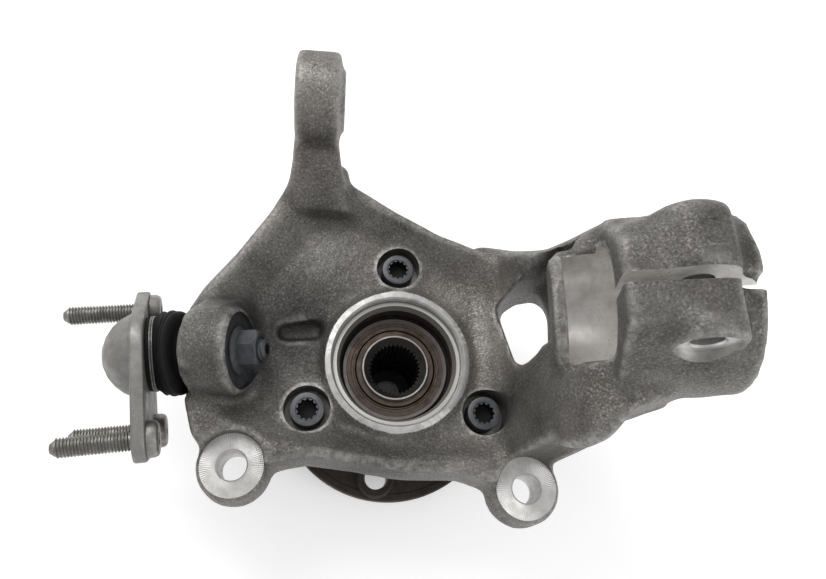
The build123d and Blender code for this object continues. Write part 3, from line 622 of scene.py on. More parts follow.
    def thread(self, radius: float, pitch: float, low: float, high: float, steps: int = 24,
               material: int = 0) -> "Form":
        """Adds a rolled thread: a toothed line wound one turn, so that each tooth meets the next.

        Args:
            radius: crest radius.
            pitch: rise of one turn.
            low: lower end.
            high: upper end.
            steps: flats in one turn.
            material: slot of the new faces.

        Returns:
            The form.
        """
        root = radius - 0.6 * pitch
        teeth = int((high - low) / pitch) - 1
        start = (low + high - (teeth + 1) * pitch) / 2
        shape = [(root, 0.0), (root, 0.14), (radius, 0.44), (radius, 0.58)]
        line = [(r, start + (n + share) * pitch) for n in range(teeth) for r, share in shape]
        line.append((root, start + teeth * pitch))
        with self.adding(material) as before:
            self.wind(line, steps, pitch, 0.01, before)
            edges = {e for f in self.newer(before) for e in f.edges}
            ends = [e for e in edges if len(e.link_faces) == 1]
            bmesh.ops.holes_fill(self.bm, edges=ends, sides=0)
        return self

    def sleeve(self, rings: list[tuple[Matrix, float]], steps: int = 72) -> "Form":
        """Bridges circles, each on its own plane, into a closed tube: the last joins the first."""
        loops = []
        for plane, radius in rings:
            made = bmesh.ops.create_circle(
                self.bm, cap_ends=False, segments=steps, radius=radius, matrix=plane)
            loops.append(list({e for v in made["verts"] for e in v.link_edges}))
        for near, far in zip(loops, loops[1:] + loops[:1]):
            bmesh.ops.bridge_loops(self.bm, edges=near + far)
        bmesh.ops.recalc_face_normals(self.bm, faces=list(self.bm.faces))
        return self

    def paint(self, material: int, radii: Point = (0.0, 1000.0),
              heights: Point = (-1000.0, 1000.0)) -> "Form":
        """Gives a slot to the faces whose middle lies between two radii and two heights."""
        for face in self.bm.faces:
            middle = face.calc_center_median()
            reach = math.hypot(middle.x, middle.y)
            if radii[0] <= reach <= radii[1] and heights[0] <= middle.z <= heights[1]:
                face.material_index = material
        return self

    def solid(self, name: str, finishes: list[Finish], crease: float = CREASE) -> bpy.types.Object:
        """Places the form and turns it into an object.

        Args:
            name: the object's name.
            finishes: the slots in order.
            crease: edges sharper than this many degrees stay sharp.

        Returns:
            The object, at the origin.
        """
        bmesh.ops.transform(self.bm, matrix=self.station.matrix(), verts=list(self.bm.verts))
        mark_creases(self.bm, crease)
        mesh = bpy.data.meshes.new(name)
        self.bm.to_mesh(mesh)
        self.bm.free()
        wear(mesh, finishes)
        return shown(name, mesh)


def mark_creases(bm: bmesh.types.BMesh, crease: float) -> None:
    """Smooths all faces and keeps edges sharper than an angle in degrees sharp."""
    limit = math.radians(crease)
    for face in bm.faces:
        face.smooth = True
    for edge in bm.edges:
        edge.smooth = edge.calc_face_angle(0.0) < limit


def smooth(bm: bmesh.types.BMesh, steps: int) -> None:
    """Moves each point halfway to its neighbours' middle, a number of times."""
    for _ in range(steps):
        bmesh.ops.smooth_vert(
            bm, verts=list(bm.verts), factor=0.5, use_axis_x=True, use_axis_y=True, use_axis_z=True)


def settle(piece: bpy.types.Object) -> None:
    """Applies a piece's modifiers to its mesh."""
    graph = bpy.context.evaluated_depsgraph_get()
    mesh = bpy.data.meshes.new_from_object(piece.evaluated_get(graph), depsgraph=graph)
    old = piece.data
    piece.modifiers.clear()
    piece.data = mesh
    bpy.data.meshes.remove(old)


class Join(Enum):
    """How two solids are put together."""

    CUT = "DIFFERENCE"
    ADD = "UNION"
    COMMON = "INTERSECT"


def combine(piece: bpy.types.Object, tool: Form | bpy.types.Object, how: Join = Join.CUT) -> None:
    """Cuts a tool out of a piece or joins it to the piece, then throws the tool away.

    Args:
        piece: what is changed.
        tool: the other solid; a form has the piece's own slots.
        how: cut, add or keep what both share.
    """
    if isinstance(tool, Form):
        tool = tool.solid("tool", [])
        for material in piece.data.materials:
            tool.data.materials.append(material)
    step = piece.modifiers.new("combine", "BOOLEAN")
    step.operation = how.value
    step.solver = "MANIFOLD"
    step.object = tool
    settle(piece)
    mesh = tool.data
    bpy.data.objects.remove(tool)
    bpy.data.meshes.remove(mesh)


def recrease(piece: bpy.types.Object, crease: float = CREASE) -> None:
    """Merges doubles left by a cut and marks the sharp edges again."""
    with edited(piece.data) as bm:
        bmesh.ops.remove_doubles(bm, verts=list(bm.verts), dist=1e-6)
        mark_creases(bm, crease)


def cad_copy(node: str, name: str) -> bpy.types.Object:
    """A CAD node's mesh as a new closed piece."""
    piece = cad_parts[node].copy()
    piece.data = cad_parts[node].data.copy()
    piece.name = name
    for key in list(piece.keys()):
        del piece[key]
    piece.parent = None
    piece.matrix_world = Matrix.Identity(4)
    bpy.context.scene.collection.objects.link(piece)
    with edited(piece.data) as bm:
        bmesh.ops.remove_doubles(bm, verts=list(bm.verts), dist=2e-6)
    return piece


def stand_for(piece: bpy.types.Object, body: str, slot: str, *nodes: str) -> None:
    """Fixes a piece to its body and hides the CAD nodes that it shows."""
    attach(piece, body)
    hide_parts(*nodes)
    LOG.info(
        "%s: %d faces for %s on %s", piece.name, len(piece.data.polygons), ", ".join(nodes), body)


def dress(node: str, finish: Finish) -> None:
    """Gives a CAD node that stays its finish."""
    wear(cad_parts[node].data, [finish])
    LOG.info("%s keeps its CAD shape", node)


# ---------------------------------------------------------------- casting
@dataclass
class WheelCarrier:
    """The cast body: its raw shape is softened as a sand casting is, then machined."""

    voxel_mm: float = 1.7
    soften_steps: int = 7
    hollow_steps: int = 9
    swell_per_m: Point = (45.0, 130.0)
    unevenness_mm: float = 0.22
    crease: float = 38.0
    bore_r: float = 35.25
    rim_r: float = 37.3
    rim_z: float = 71.5
    bolt_seat_z: float = 56.0
    bolt_hole_r: float = 6.6
    counterbore_r: float = 12.3
    ear_face_r: float = 16.0
    ear_hole_r: float = 7.3
    ear_t: float = 22.0
    tie_hole_r: float = 7.0
    arm_w: float = 26.5
    nut_seat_s: float = 52.0
    nut_recess_r: float = 19.8
    boss_s: float = 28.0
    strut_r: float = 27.5
    strut_stop_r: float = 25.6
    strut_stop_s: float = -11.5
    strut_shoulder_s: float = 4.0
    clamp_s1: float = 62.5
    slit_w: float = 4.6
    slit_at: float = -4.5
    collar_z: float = 69.5
    pinch_r: float = 6.5
    pinch_seat_r: float = 12.8
    pinch_seat_y: float = -28.0
    strut_bed_r: float = 30.5
    neck_wall: tuple[Point, ...] = (
        (25.0, -12.0), (26.0, 1.0), (20.0, 7.5), (8.0, 10.0), (-8.0, 10.0), (-19.0, 7.5),
        (-25.0, 1.0), (-24.0, -12.0))
    pocket: tuple[tuple[Point, float], ...] = (((-61.0, 15.0), 4.5), ((-46.5, 17.0), 5.5))
    pocket_z: Point = (61.5, 69.0)
    mark_depth: float = 0.45
    marks: tuple[tuple[Triple, float], ...] = (
        ((108.9, 15.9, 204.7), 5.6), ((-47.2, 134.1, 137.3), 4.8), ((-56.4, -48.7, 78.9), 4.3))
    finishes: list[Finish] = field(default_factory=lambda: [
        Finish.CAST, Finish.RIM, Finish.LEFT_EAR, Finish.RIGHT_EAR, Finish.TIE_ROD_PAD,
        Finish.NUT_SEAT, Finish.STRUT_BORE, Finish.PINCH_SEAT, Finish.BOLT_SEAT])

    def skin(self, finish: Finish) -> int:
        """Slot of one of the casting's finishes."""
        return self.finishes.index(finish)

    def raw_fillings(self) -> list[Form]:
        """Metal that the machining takes off again, so that its edges come out crisp."""
        top, stop, face = self.rim_z + 1.6, self.strut_stop_s, self.pinch_seat_y
        forms = [Form(WHEEL).turn([
            (0, 35.5), (37, 35.5), (37, 60), (44.5, 66.4), (self.rim_r + 0.4, top), (0, top)])]
        for at in BOLT_PLACES:
            core = Form(WHEEL).drum(self.bolt_hole_r + 2, 36, 60, at)
            forms.append(core.drum(self.counterbore_r + 1.6, 54, self.collar_z, at))
        forms += [Form(ear).drum(self.ear_face_r - 0.2, 2 - self.ear_t, 1.6) for ear in EARS]
        forms.append(Form(TIE_ROD).drum(15.5, -1.2, self.arm_w + 1.2))
        boss = Form(PIN).drum(13.0, self.boss_s - 1, self.nut_seat_s + 1.5)
        forms.append(boss.drum(self.nut_recess_r + 1.3, self.nut_seat_s - 4, self.nut_seat_s + 2.0))
        forms.append(Form(STRUT).slab(self.neck_wall, stop - 6.0, stop + 1.0))
        turns = [math.pi * (1.0 + n / 24.0) for n in range(25)]
        bed = [(self.strut_bed_r * math.cos(a), self.strut_bed_r * math.sin(a)) for a in turns]
        forms.append(Form(STRUT).slab(bed, stop - 2.5, 8.0))
        forms.append(Form(STRUT).drum(self.strut_r + 2, 7.5, self.clamp_s1 - 0.2))
        forms.append(Form(STRUT).block((-8.5, 20, 6.2), (-0.5, 48.0, 49.8)))
        pinch = Form(PINCH).drum(self.pinch_r + 2, face + 1, 26)
        forms.append(pinch.drum(self.pinch_seat_r + 3.0, face - 2.2, face + 8))
        return forms

    def cutters(self) -> list[Form]:
        """One tool for each machined place."""
        z, r, out, seat = self.rim_z, self.bore_r, self.rim_r + 3, self.skin(Finish.BOLT_SEAT)
        forms = [Form(WHEEL).turn([
            (0, 28), (r, 28), (r, z - 0.9), (r + 0.9, z), (out, z), (out, z + 8), (0, z + 8)], 128,
            self.skin(Finish.RIM))]
        for at in BOLT_PLACES:
            forms.append(Form(WHEEL).drum(self.bolt_hole_r, 28, 70, at, 48, seat))
            forms.append(Form(WHEEL).drum(self.counterbore_r, self.bolt_seat_z, 116, at, 72, seat))
        r, f, under = self.ear_hole_r, self.ear_face_r, -self.ear_t
        for ear, finish in zip(EARS, (Finish.LEFT_EAR, Finish.RIGHT_EAR)):
            faced = self.skin(finish)
            face = Form(ear).turn([
                (0, -60), (r, -60), (r, -0.8), (r + 0.8, 0), (f, 0), (f, 40), (0, 40)], 96, faced)
            forms.append(face.paint(self.skin(Finish.CAST), (f - 0.1, f + 0.1), (0.1, 100.0)))
            forms.append(Form(ear).drum(f + 2, under - 6, under, material=faced))
        r, w = self.tie_hole_r, self.arm_w
        forms.append(Form(TIE_ROD).turn([
            (0, -9), (20, -9), (20, 0), (r + 0.8, 0), (r, 0.8), (r, w - 0.8), (r + 0.8, w), (20, w),
            (20, w + 9), (0, w + 9)], 96, self.skin(Finish.TIE_ROD_PAD)))
        s, foot, r = self.boss_s, self.nut_seat_s, self.nut_recess_r
        forms.append(Form(PIN).turn([
            (0, 0), (22, 0), (22, s), (9.5, s), (8.0, foot), (r, foot), (r, foot + 62),
            (0, foot + 62)], 96, self.skin(Finish.NUT_SEAT)))
        lo, hi, end = self.strut_stop_s, self.strut_shoulder_s, self.clamp_s1
        r, stop, bored = self.strut_r, self.strut_stop_r, self.skin(Finish.STRUT_BORE)
        forms.append(Form(STRUT).turn([
            (0, lo), (stop, lo), (stop, hi), (r, hi), (r, end - 1), (r + 1, end), (r + 16, end),
            (r + 16, 90), (0, 90)], 128, bored))
        left, right = self.slit_at - self.slit_w / 2, self.slit_at + self.slit_w / 2
        forms.append(Form(STRUT).block((left, 0, 4), (right, 60, 72), bored))
        y, r, seat = self.pinch_seat_y, self.pinch_r, self.pinch_seat_r
        forms.append(Form(PINCH).turn([
            (0, -46), (seat, -46), (seat, y), (r + 0.8, y), (r, y + 0.8), (r, 60), (0, 60)], 72,
            self.skin(Finish.PINCH_SEAT)))
        return forms

    def rebuild_skin(self, piece: bpy.types.Object) -> None:
        """Makes one even closed skin round everything in the piece."""
        remesh = piece.modifiers.new("remesh", "REMESH")
        remesh.mode = "VOXEL"
        remesh.voxel_size = self.voxel_mm * MM
        settle(piece)

    def stamp_marks(self, piece: bpy.types.Object) -> None:
        """Sinks the shallow round marks of the core box's pins into the skin."""
        for place, radius in self.marks:
            hit, spot, normal, _ = piece.closest_point_on_mesh(Vector(place) * MM)
            if hit:
                station = Station(tuple(spot / MM), tuple(normal.orthogonal()), tuple(normal))
                combine(piece, Form(station).drum(radius, -self.mark_depth, 6.0, steps=40))

    def soften(self, piece: bpy.types.Object) -> None:
        """Rounds the raw casting's edges and makes its skin slightly uneven."""
        coarse, fine = self.swell_per_m
        with edited(piece.data) as bm:
            smooth(bm, self.soften_steps)
            bm.normal_update()
            for vert in bm.verts:
                swell = noise.noise(vert.co * coarse) + 0.5 * noise.noise(vert.co * fine)
                vert.co += vert.normal * swell * self.unevenness_mm * MM

    def mark_hollows(self, piece: bpy.types.Object) -> None:
        """Stores how far each point lies in a hollow (+) or on an edge (-), in millimetres."""
        bm = bmesh.new()
        bm.from_mesh(piece.data)
        start = [(v.co.copy(), v.normal.copy()) for v in bm.verts]
        smooth(bm, self.hollow_steps)
        depths = [(v.co - co).dot(normal) / MM for v, (co, normal) in zip(bm.verts, start)]
        bm.free()
        layer = piece.data.attributes.new("hollow", "FLOAT", "POINT")
        layer.data.foreach_set("value", depths)

    def build(self) -> None:
        """Makes the casting."""
        piece = cad_copy("knuckle_casting", "cast_wheel_carrier")
        fillings = [form.solid("filling", []) for form in self.raw_fillings()]
        with edited(piece.data) as bm:
            for filling in fillings:
                bm.from_mesh(filling.data)
                bpy.data.objects.remove(filling)
        self.rebuild_skin(piece)
        combine(piece, Form(WHEEL).hull(list(self.pocket), *self.pocket_z))
        self.rebuild_skin(piece)
        self.soften(piece)
        wear(piece.data, self.finishes)
        self.stamp_marks(piece)
        for form in self.cutters():
            combine(piece, form)
        recrease(piece, self.crease)
        self.mark_hollows(piece)
        stand_for(piece, "knuckle", "cast_aluminium", "knuckle_casting")


# ---------------------------------------------------------------- wheel bearing
@dataclass(frozen=True)
class BallTrack:
    """The ball rows' sizes, which the rings and the hub share."""

    ball_r: float = 5.5
    pitch_r: float = 25.2
    groove_r: float = 5.7
    inner_land_r: float = 22.6
    rows_z: Point = (24.5, 43.5)

    def groove(self, row: int, side: int, land_r: float) -> list[Point]:
        """Arc of a ball groove cut into a land.

        Args:
            row: 0 for the outboard row, 1 for the inboard one.
            side: 1 outside the balls, -1 inside them.
            land_r: radius of the land.

        Returns:
            The arc's radii and heights, from low to high.
        """
        reach = math.sqrt(self.groove_r ** 2 - (land_r - self.pitch_r) ** 2)
        span = math.asin(reach / self.groove_r)
        turns = [span * (n / 5.0 - 1.0) for n in range(11)]
        pitch, r, z = self.pitch_r, self.groove_r, self.rows_z[row]
        return [(pitch + side * r * math.cos(a), z + r * math.sin(a)) for a in turns]


TRACK = BallTrack()


@dataclass
class WheelBearing:
    """The bolted bearing: lugged outer ring, inner ring, seals, encoder, cages and balls."""

    inner_seat_r: float = 16.9
    inner_z: Point = (35.0, 53.5)
    outer_land_r: float = 28.9
    seal_bore_r: float = 31.2
    lip_r: float = 23.95
    spigot_r: float = 35.2
    nose_r: float = 39.0
    ring_z: Point = (14.5, 66.5)
    seat_z: float = 34.0
    plate_t: float = 10.0
    lug_r: float = 12.5
    lug_hole_r: float = 6.02

    def outer_ring(self) -> None:
        """Turned ring with the lugged plate that bolts to the casting."""
        low, high = self.ring_z
        nose, foot = self.nose_r, self.seat_z - 1
        out, bore, land = self.spigot_r, self.seal_bore_r, self.outer_land_r
        far, near = TRACK.groove(0, 1, land), TRACK.groove(1, 1, land)
        row_end = TRACK.rows_z[1] + TRACK.ball_r
        profile = [
            (bore, low + 4.5), (bore, low + 0.6), (bore + 0.6, low), (nose - 1.0, low),
            (nose, low + 1.0), (nose, foot), (out, foot), (out, high - 0.5), (out - 0.5, high),
            (out - 2.4, high), (bore, high - 4), (bore, row_end), (land, row_end)]
        profile += near[::-1] + far[::-1] + [(land, low + 4.5)]
        slots = [Finish.BEARING, Finish.BOLT_SEAT, Finish.BEARING_BORE]
        # slot 2 is painted shade on the ring's bore above the inboard row
        ring = Form(WHEEL).turn(profile, 128).paint(
            2, (0.0, bore + 0.2), (TRACK.rows_z[1], high - 3.9))
        ring = ring.solid("bearing_ring_and_lugs", slots)
        circles = [((0.0, 0.0), nose + 3)] + [(at, self.lug_r) for at in BOLT_PLACES]
        plate = Form(WHEEL).hull(circles, self.seat_z - self.plate_t, self.seat_z).round_edges(0.7)
        plate = plate.paint(1).solid("lug_plate", slots)
        combine(plate, Form(WHEEL).drum(nose - 2, 10, 50, steps=128, material=1))
        combine(ring, plate, Join.ADD)
        for at in BOLT_PLACES:
            combine(ring, Form(WHEEL).drum(self.lug_hole_r, 10, 50, at, 48, 1))
        recrease(ring)
        stand_for(ring, "knuckle", "bearing_steel", "bearing_outer_ring")

    def inner_ring(self) -> None:
        """Inner ring on the hub's journal, with its ball groove and chamfers."""
        low, high = self.inner_z
        seat, land = self.inner_seat_r, TRACK.inner_land_r
        profile = [(seat, low + 0.8), (seat + 0.8, low), (land - 1.2, low), (land - 0.8, low + 0.4)]
        profile += [(r, z) for r, z in TRACK.groove(1, -1, land) if z > low + 0.6]
        profile += [
            (land, high - 1.6), (land - 0.5, high - 0.5), (land - 1.0, high), (seat + 0.7, high),
            (seat, high - 0.7)]
        ring = Form(WHEEL).turn(profile, 112).solid("bearing_cone", [Finish.CONE])
        stand_for(ring, "hub", "bearing_steel", "bearing_inner_ring")

    def seals(self) -> None:
        """Outboard lip seal, inboard seal carrier and the encoder ring with its raised tracks."""
        bore, low, lip = self.seal_bore_r, self.ring_z[0], self.lip_r
        far = Form(WHEEL).turn([
            (bore, low + 0.1), (bore, low + 2.2), (bore - 2.0, low + 2.2), (lip + 2.2, low + 1.5),
            (lip + 0.3, low + 2.1), (lip, low + 1.9), (lip + 0.1, low + 0.5),
            (lip + 1.6, low + 0.1), (bore - 2.0, low + 0.7), (bore - 1.0, low + 0.1)], 96)
        stand_for(
            far.solid("outboard_lip_seal", [Finish.SEAL]), "knuckle", "rubber", "outboard_seal")
        z = TRACK.rows_z[1] + TRACK.ball_r + 1.3
        land = TRACK.inner_land_r
        near = Form(WHEEL).turn([
            (bore, z), (bore, z + 1.4), (bore - 0.5, z + 1.4), (bore - 1.0, z + 0.9),
            (land + 1.8, z + 0.9), (land + 0.5, z + 1.35), (land + 0.32, z + 1.1),
            (land + 0.6, z + 0.2), (land + 1.6, z)], 96)
        stand_for(
            near.solid("inboard_seal_carrier", [Finish.SEAL]), "knuckle", "rubber", "inboard_seal")
        top, inner, outer = self.inner_z[1], land, bore - 1.8
        tracks = [
            (inner, top - 1.2), (outer, top - 1.2), (outer, top - 0.3), (outer - 0.3, top),
            (outer - 1.3, top), (outer - 1.5, top - 0.35), (outer - 2.1, top - 0.35),
            (outer - 2.3, top), (inner + 2.3, top), (inner + 2.0, top - 0.4),
            (inner + 0.9, top - 0.4), (inner + 0.6, top), (inner, top)]
        form = Form(WHEEL).turn(tracks, 128).paint(1, (0.0, (inner + outer) / 2))
        ring = form.solid("encoder_tracks", [Finish.ENCODER, Finish.CONE])
        stand_for(ring, "hub", "encoder", "encoder_ring")

    def build(self) -> None:
        """Makes the bearing's pieces."""
        self.outer_ring()
        self.inner_ring()
        self.seals()
        for row in ("outboard", "inboard"):
            dress(f"{row}_cage", Finish.CAGE)
            dress(f"{row}_balls", Finish.RACE)


# ---------------------------------------------------------------- wheel hub
@dataclass
class WheelHub:
    """Forged and turned hub: wheel flange with bosses, pilots, journal and splined bore."""

    flange_r: float = 68.5
    flange_t: float = 9.0
    boss_r: float = 11.5
    boss_t: float = 3.0
    hole_r: float = 6.35
    hole_pcr: float = 56.0
    first_hole: float = -97.4
    end_z: float = 55.7
    tip_r: float = 13.6
    root_r: float = 14.6
    teeth: int = 36
    spline_z: float = -2.0
    collar_top_r: float = 17.55
    finishes: list[Finish] = field(default_factory=lambda: [
        Finish.HUB, Finish.HUB_TURNED, Finish.SPLINES, Finish.COLLAR])

    def blank(self) -> bpy.types.Object:
        """The turned hub before its holes, bosses and splines."""
        f, t, end = self.flange_r, self.flange_t, self.end_z
        profile = [
            (self.tip_r, self.spline_z), (8.3, self.spline_z), (8.3, -8), (22.0, -8), (22.5, -8.4),
            (24, -13), (27.7, -13), (28.5, -12.2), (28.5, -5), (32.0, -5), (32.5, -4.5), (32.5, 0),
            (f - 1, 0), (f, 1), (f, t - 0.8), (f - 0.8, t), (f - 4, t), (f - 4.6, t - 0.4),
            (45, t - 0.6), (33.0, t), (29.0, t + 0.7), (25.6, t + 2.0), (23.6, t + 4.2),
            (23.6, TRACK.rows_z[0] - 5.9)]
        profile += TRACK.groove(0, -1, TRACK.inner_land_r)
        profile += [
            (TRACK.inner_land_r, 29.7), (19.9, 30.0), (19.9, 34.6), (19.5, 35), (16.9, 35),
            (16.9, 53.5), (19.0, 53.5), (19.2, 54.0), (18.9, 55.1), (18.4, end), (17.6, end),
            (17.3, end - 0.2), (15.0, end - 3.4), (self.tip_r, end - 4.4)]
        form = Form(WHEEL).turn(profile, 160)
        form.paint(1, (16.0, 33.5), (9.5, 60.0)).paint(1, (28.4, 32.6), (-13.1, -0.1))
        form.paint(3, (self.collar_top_r, 20.0), (53.6, 60.0))
        # slot 2 is painted shade: everything inside the collar, down to the web
        form.paint(2, (0.0, self.collar_top_r), (-3.0, 60.0))
        return form.solid("splined_wheel_hub", self.finishes)

    def build(self) -> None:
        """Makes the hub."""
        hub = self.blank()
        spots = [Station((x, y, 0.0)) for x, y in places_round(self.hole_pcr, 5, self.first_hole)]
        t, b, r, top = self.flange_t, self.boss_r, self.hole_r, self.flange_t + self.boss_t
        for spot in spots:
            combine(hub, Form(spot).turn([
                (0, t - 1), (b, t - 1), (b, t + 0.6), (b - 0.5, t + 1.9), (b - 1.6, top), (0, top)],
                56, 0), Join.ADD)
        for spot in spots:
            combine(hub, Form(spot).turn([
                (0, -3), (r + 1.6, -3), (r + 1.6, 0), (r, 1.0), (r, top - 0.8), (r + 0.8, top),
                (r + 0.8, top + 3), (0, top + 3)], 48, 1))
        tooth = (self.tip_r - 0.3, self.root_r, self.root_r, self.tip_r - 0.3)
        combine(hub, Form(WHEEL).prism(
            tooth, self.teeth, self.spline_z, self.end_z + 2, material=2))
        recrease(hub)
        stand_for(hub, "hub", "hub_steel", "wheel_hub")


# ---------------------------------------------------------------- bearing bolts
@dataclass
class BearingBolts:
    """Three phosphated bolts with twelve-point sockets."""

    shank_r: float = 6.0
    head_r: float = 9.0
    head_z: Point = (56.0, 68.0)
    tip_z: float = 23.5
    socket_r: float = 5.9
    socket_inner: float = 0.8165
    socket_depth: float = 7.0

    def build(self) -> None:
        """Makes the bolts."""
        foot, top = self.head_z
        tip, r, h, s = self.tip_z, self.shank_r, self.head_r, self.socket_r
        for n, (x, y) in enumerate(BOLT_PLACES):
            spot = Station((x, y, 0.0))
            bolt = Form(spot).turn([
                (0, tip), (r - 1, tip), (r, tip + 1), (r, foot - 0.6), (r + 0.5, foot),
                (h - 0.3, foot), (h, foot + 0.4), (h, top - 0.7), (h - 0.2, top - 0.2),
                (h - 0.65, top), (0, top)], 72)
            bolt = bolt.solid(f"bearing_screw_{n + 1}", [Finish.BOLT, Finish.SOCKET])
            combine(bolt, Form(spot).prism(
                (s, s * self.socket_inner), 12, top - self.socket_depth, top + 1, material=1))
            combine(bolt, Form(spot).drum(
                s - 0.2, top - 0.5, top + 0.4, steps=48, top_radius=s + 0.7))
            recrease(bolt)
            stand_for(bolt, "knuckle", "bolt_black", f"bearing_bolt_{n + 1}")


# ---------------------------------------------------------------- lower ball joint
@dataclass
class LowerBallJoint:
    """Ball pin with its flanged nut, forged housing with three studs, and the rubber boot."""

    ball_r: float = 13.5
    neck_r: float = 8.0
    collar_r: float = 9.5
    collar_s: float = 15.5
    boss_s: float = 28.0
    nut_seat_s: float = 52.0
    taper_end_r: float = 8.0
    thread_r: float = 5.95
    thread_pitch: float = 1.5
    pin_end_s: float = 67.5
    socket_r: float = 3.0
    flats: float = 18.0
    nut_h: float = 12.5
    nut_flange_r: float = 12.5
    cup_r: float = 21.5
    rim_r: float = 17.5
    rim_h: float = 9.0
    plate_h: Point = (-3.5, 3.0)
    dome_h: float = 19.0
    seat_t: float = 2.06
    lobe_r: float = 11.0
    stud_places: tuple[Point, ...] = ((27.6, -10.6), (-45.2, 6.0), (-34.1, -30.3))
    stud_r: float = 4.9
    stud_end: float = -40.5
    knurl_r: float = 5.7
    head_r: float = 9.2
    head_t: float = 5.5
    base_r: float = 19.3
    boot_wall: float = 1.7
    bend_s: float = 8.0
    bend_length: float = 13.5
    wire_s: Point = (5.55, 6.65)
    wire_r: float = 0.55
    soft_crease: float = 60.0

    def pin(self) -> None:
        """Ground pin with its ball, taper, threaded end and hex socket."""
        r, neck, collar, core = self.ball_r, self.neck_r, self.collar_r, self.thread_r - 0.85
        seat, end = self.nut_seat_s, self.pin_end_s
        start = math.asin(neck / r)
        turns = [math.pi - (math.pi - start) * n / 22.0 for n in range(1, 22)]
        line = [(0, -r)] + [(r * math.sin(a), r * math.cos(a)) for a in turns]
        line += [
            (neck, r * math.cos(start)), (neck, self.collar_s - 1.5), (collar, self.collar_s),
            (collar, self.boss_s), (self.taper_end_r, seat), (core, seat), (core, end - 1.2),
            (core - 0.8, end), (0, end)]
        pin = Form(PIN).turn(line, 88).paint(2, (0.0, 7.0), (seat + 0.1, end + 1))
        pin = pin.solid("ball_stud", [Finish.PIN_GROUND, Finish.SOCKET, Finish.NUT])
        self.broach(pin)
        combine(pin, Form(PIN).thread(
            self.thread_r, self.thread_pitch, seat + 0.1, end - 0.6, material=2), Join.ADD)
        self.broach(pin)
        recrease(pin)
        stand_for(pin, "knuckle", "pin_steel", "ball_pin")

    def broach(self, pin: bpy.types.Object) -> None:
        """Cuts the hexagon socket into the pin's end."""
        end = self.pin_end_s
        combine(pin, Form(PIN).prism((self.socket_r,), 6, end - 5, end + 1, material=1))

    def nut(self) -> None:
        """Hexagon nut with chamfered corners on a dished flange."""
        foot, top = self.nut_seat_s, self.nut_seat_s + self.nut_h
        corner, half = self.flats / math.sqrt(3.0), self.flats / 2
        f, bore = self.nut_flange_r, self.thread_r
        hexagon = Form(PIN).prism((corner,), 6, foot + 1.0, top, turn=30.0)
        hexagon = hexagon.solid("nut_hexagon", [Finish.NUT])
        combine(hexagon, Form(PIN).turn([
            (0, foot), (corner + 1, foot), (corner + 1, top - 3.2), (half - 0.3, top), (0, top)],
            72), Join.COMMON)
        flange = Form(PIN).turn([
            (0, foot), (f - 0.5, foot), (f, foot + 0.4), (f - 0.1, foot + 1.1),
            (f - 1.4, foot + 2.1), (half + 0.6, foot + 3.0), (0, foot + 3.0)], 80)
        nut = flange.solid("flanged_nut", [Finish.NUT])
        combine(nut, hexagon, Join.ADD)
        combine(nut, Form(PIN).turn([
            (0, foot - 1), (bore + 0.03, foot - 1), (bore + 0.03, top - 0.7), (bore + 0.9, top),
            (bore + 0.9, top + 1), (0, top + 1)], 64))
        recrease(nut)
        stand_for(nut, "knuckle", "nut_steel", "ball_pin_nut")

    def housing(self) -> None:
        """Forged plate and dome with the ball's cavity and the stud holes."""
        low, high = self.plate_h
        r, d, rim, top = self.cup_r, self.dome_h, self.rim_r, self.rim_h
        circles = [((0.0, 0.0), r + 2)] + [(at, self.lobe_r) for at in self.stud_places]
        plate = Form(CUP).hull(circles, low, high).round_edges(1.1, 3)
        plate = plate.solid("forged_housing", [Finish.PLATE])
        combine(plate, Form(CUP).turn([
            (0, -d), (6, -d + 0.4), (11, -d + 2.4), (15.5, -d + 5.6), (19, -d + 9.6),
            (20.8, -d + 13), (r + 0.2, low - 0.6), (r + 1.2, low), (r + 1.2, high - 0.5), (r, high),
            (rim + 0.9, high), (rim, high + 0.8), (rim, top - 0.6), (rim - 0.6, top), (0, top)],
            96), Join.ADD)
        hollow = self.ball_r + self.seat_t
        turns = [math.pi / 2 * n / 16 for n in range(17)]
        arc = [(hollow * math.sin(a), -hollow * math.cos(a)) for a in turns]
        combine(plate, Form(CUP).turn(arc + [(hollow, top + 3), (0, top + 3)], 72))
        for at in self.stud_places:
            combine(plate, Form(CUP).drum(self.knurl_r + 0.02, low - 4, high + 4, at, 48))
        recrease(plate)
        stand_for(plate, "joint_housing", "forged_plate", "ball_joint_housing")

    def studs(self) -> None:
        """Pressed studs: round head, knurled neck, rolled thread and conical tip."""
        low, high = self.plate_h
        end, k, h, top, core = (
            self.stud_end, self.knurl_r, self.head_r, high + self.head_t, self.stud_r - 0.92)
        for n, (x, y) in enumerate(self.stud_places):
            stud = Form(CUP.at(x, y, 0.0))
            stud.turn([
                (0, end), (2.4, end), (core, end + 2.2), (core, low - 0.4), (k - 0.6, low),
                (k, low + 0.6), (k, high), (h - 0.2, high), (h, high + 0.3), (h - 0.15, top - 2.2),
                (h - 0.8, top - 0.6), (h - 1.8, top), (3.4, top), (3.0, top - 0.5), (0, top - 0.5)],
                72)
            stud.thread(self.stud_r, self.thread_pitch, end + 1.6, low - 0.2)
            piece = stud.solid(f"threaded_stud_{n + 1}", [Finish.STUD])
            stand_for(piece, "joint_housing", "stud_steel", f"joint_stud_{n + 1}")

    def boot_plane(self, s: float) -> Matrix:
        """Plane of a boot ring at a distance from the ball's centre, on the bent axis."""
        share = min(max((s - self.bend_s) / self.bend_length, 0.0), 1.0)
        axis = CUP_AXIS.slerp(PIN_AXIS, share * share * (3 - 2 * share))
        spot = Vector(BALL_CENTRE) + axis * s
        x = Vector((0, 0, 1)).cross(axis).normalized()
        turn = Matrix((x, axis.cross(x), axis)).transposed().to_4x4()
        return Matrix.Translation(spot) @ turn

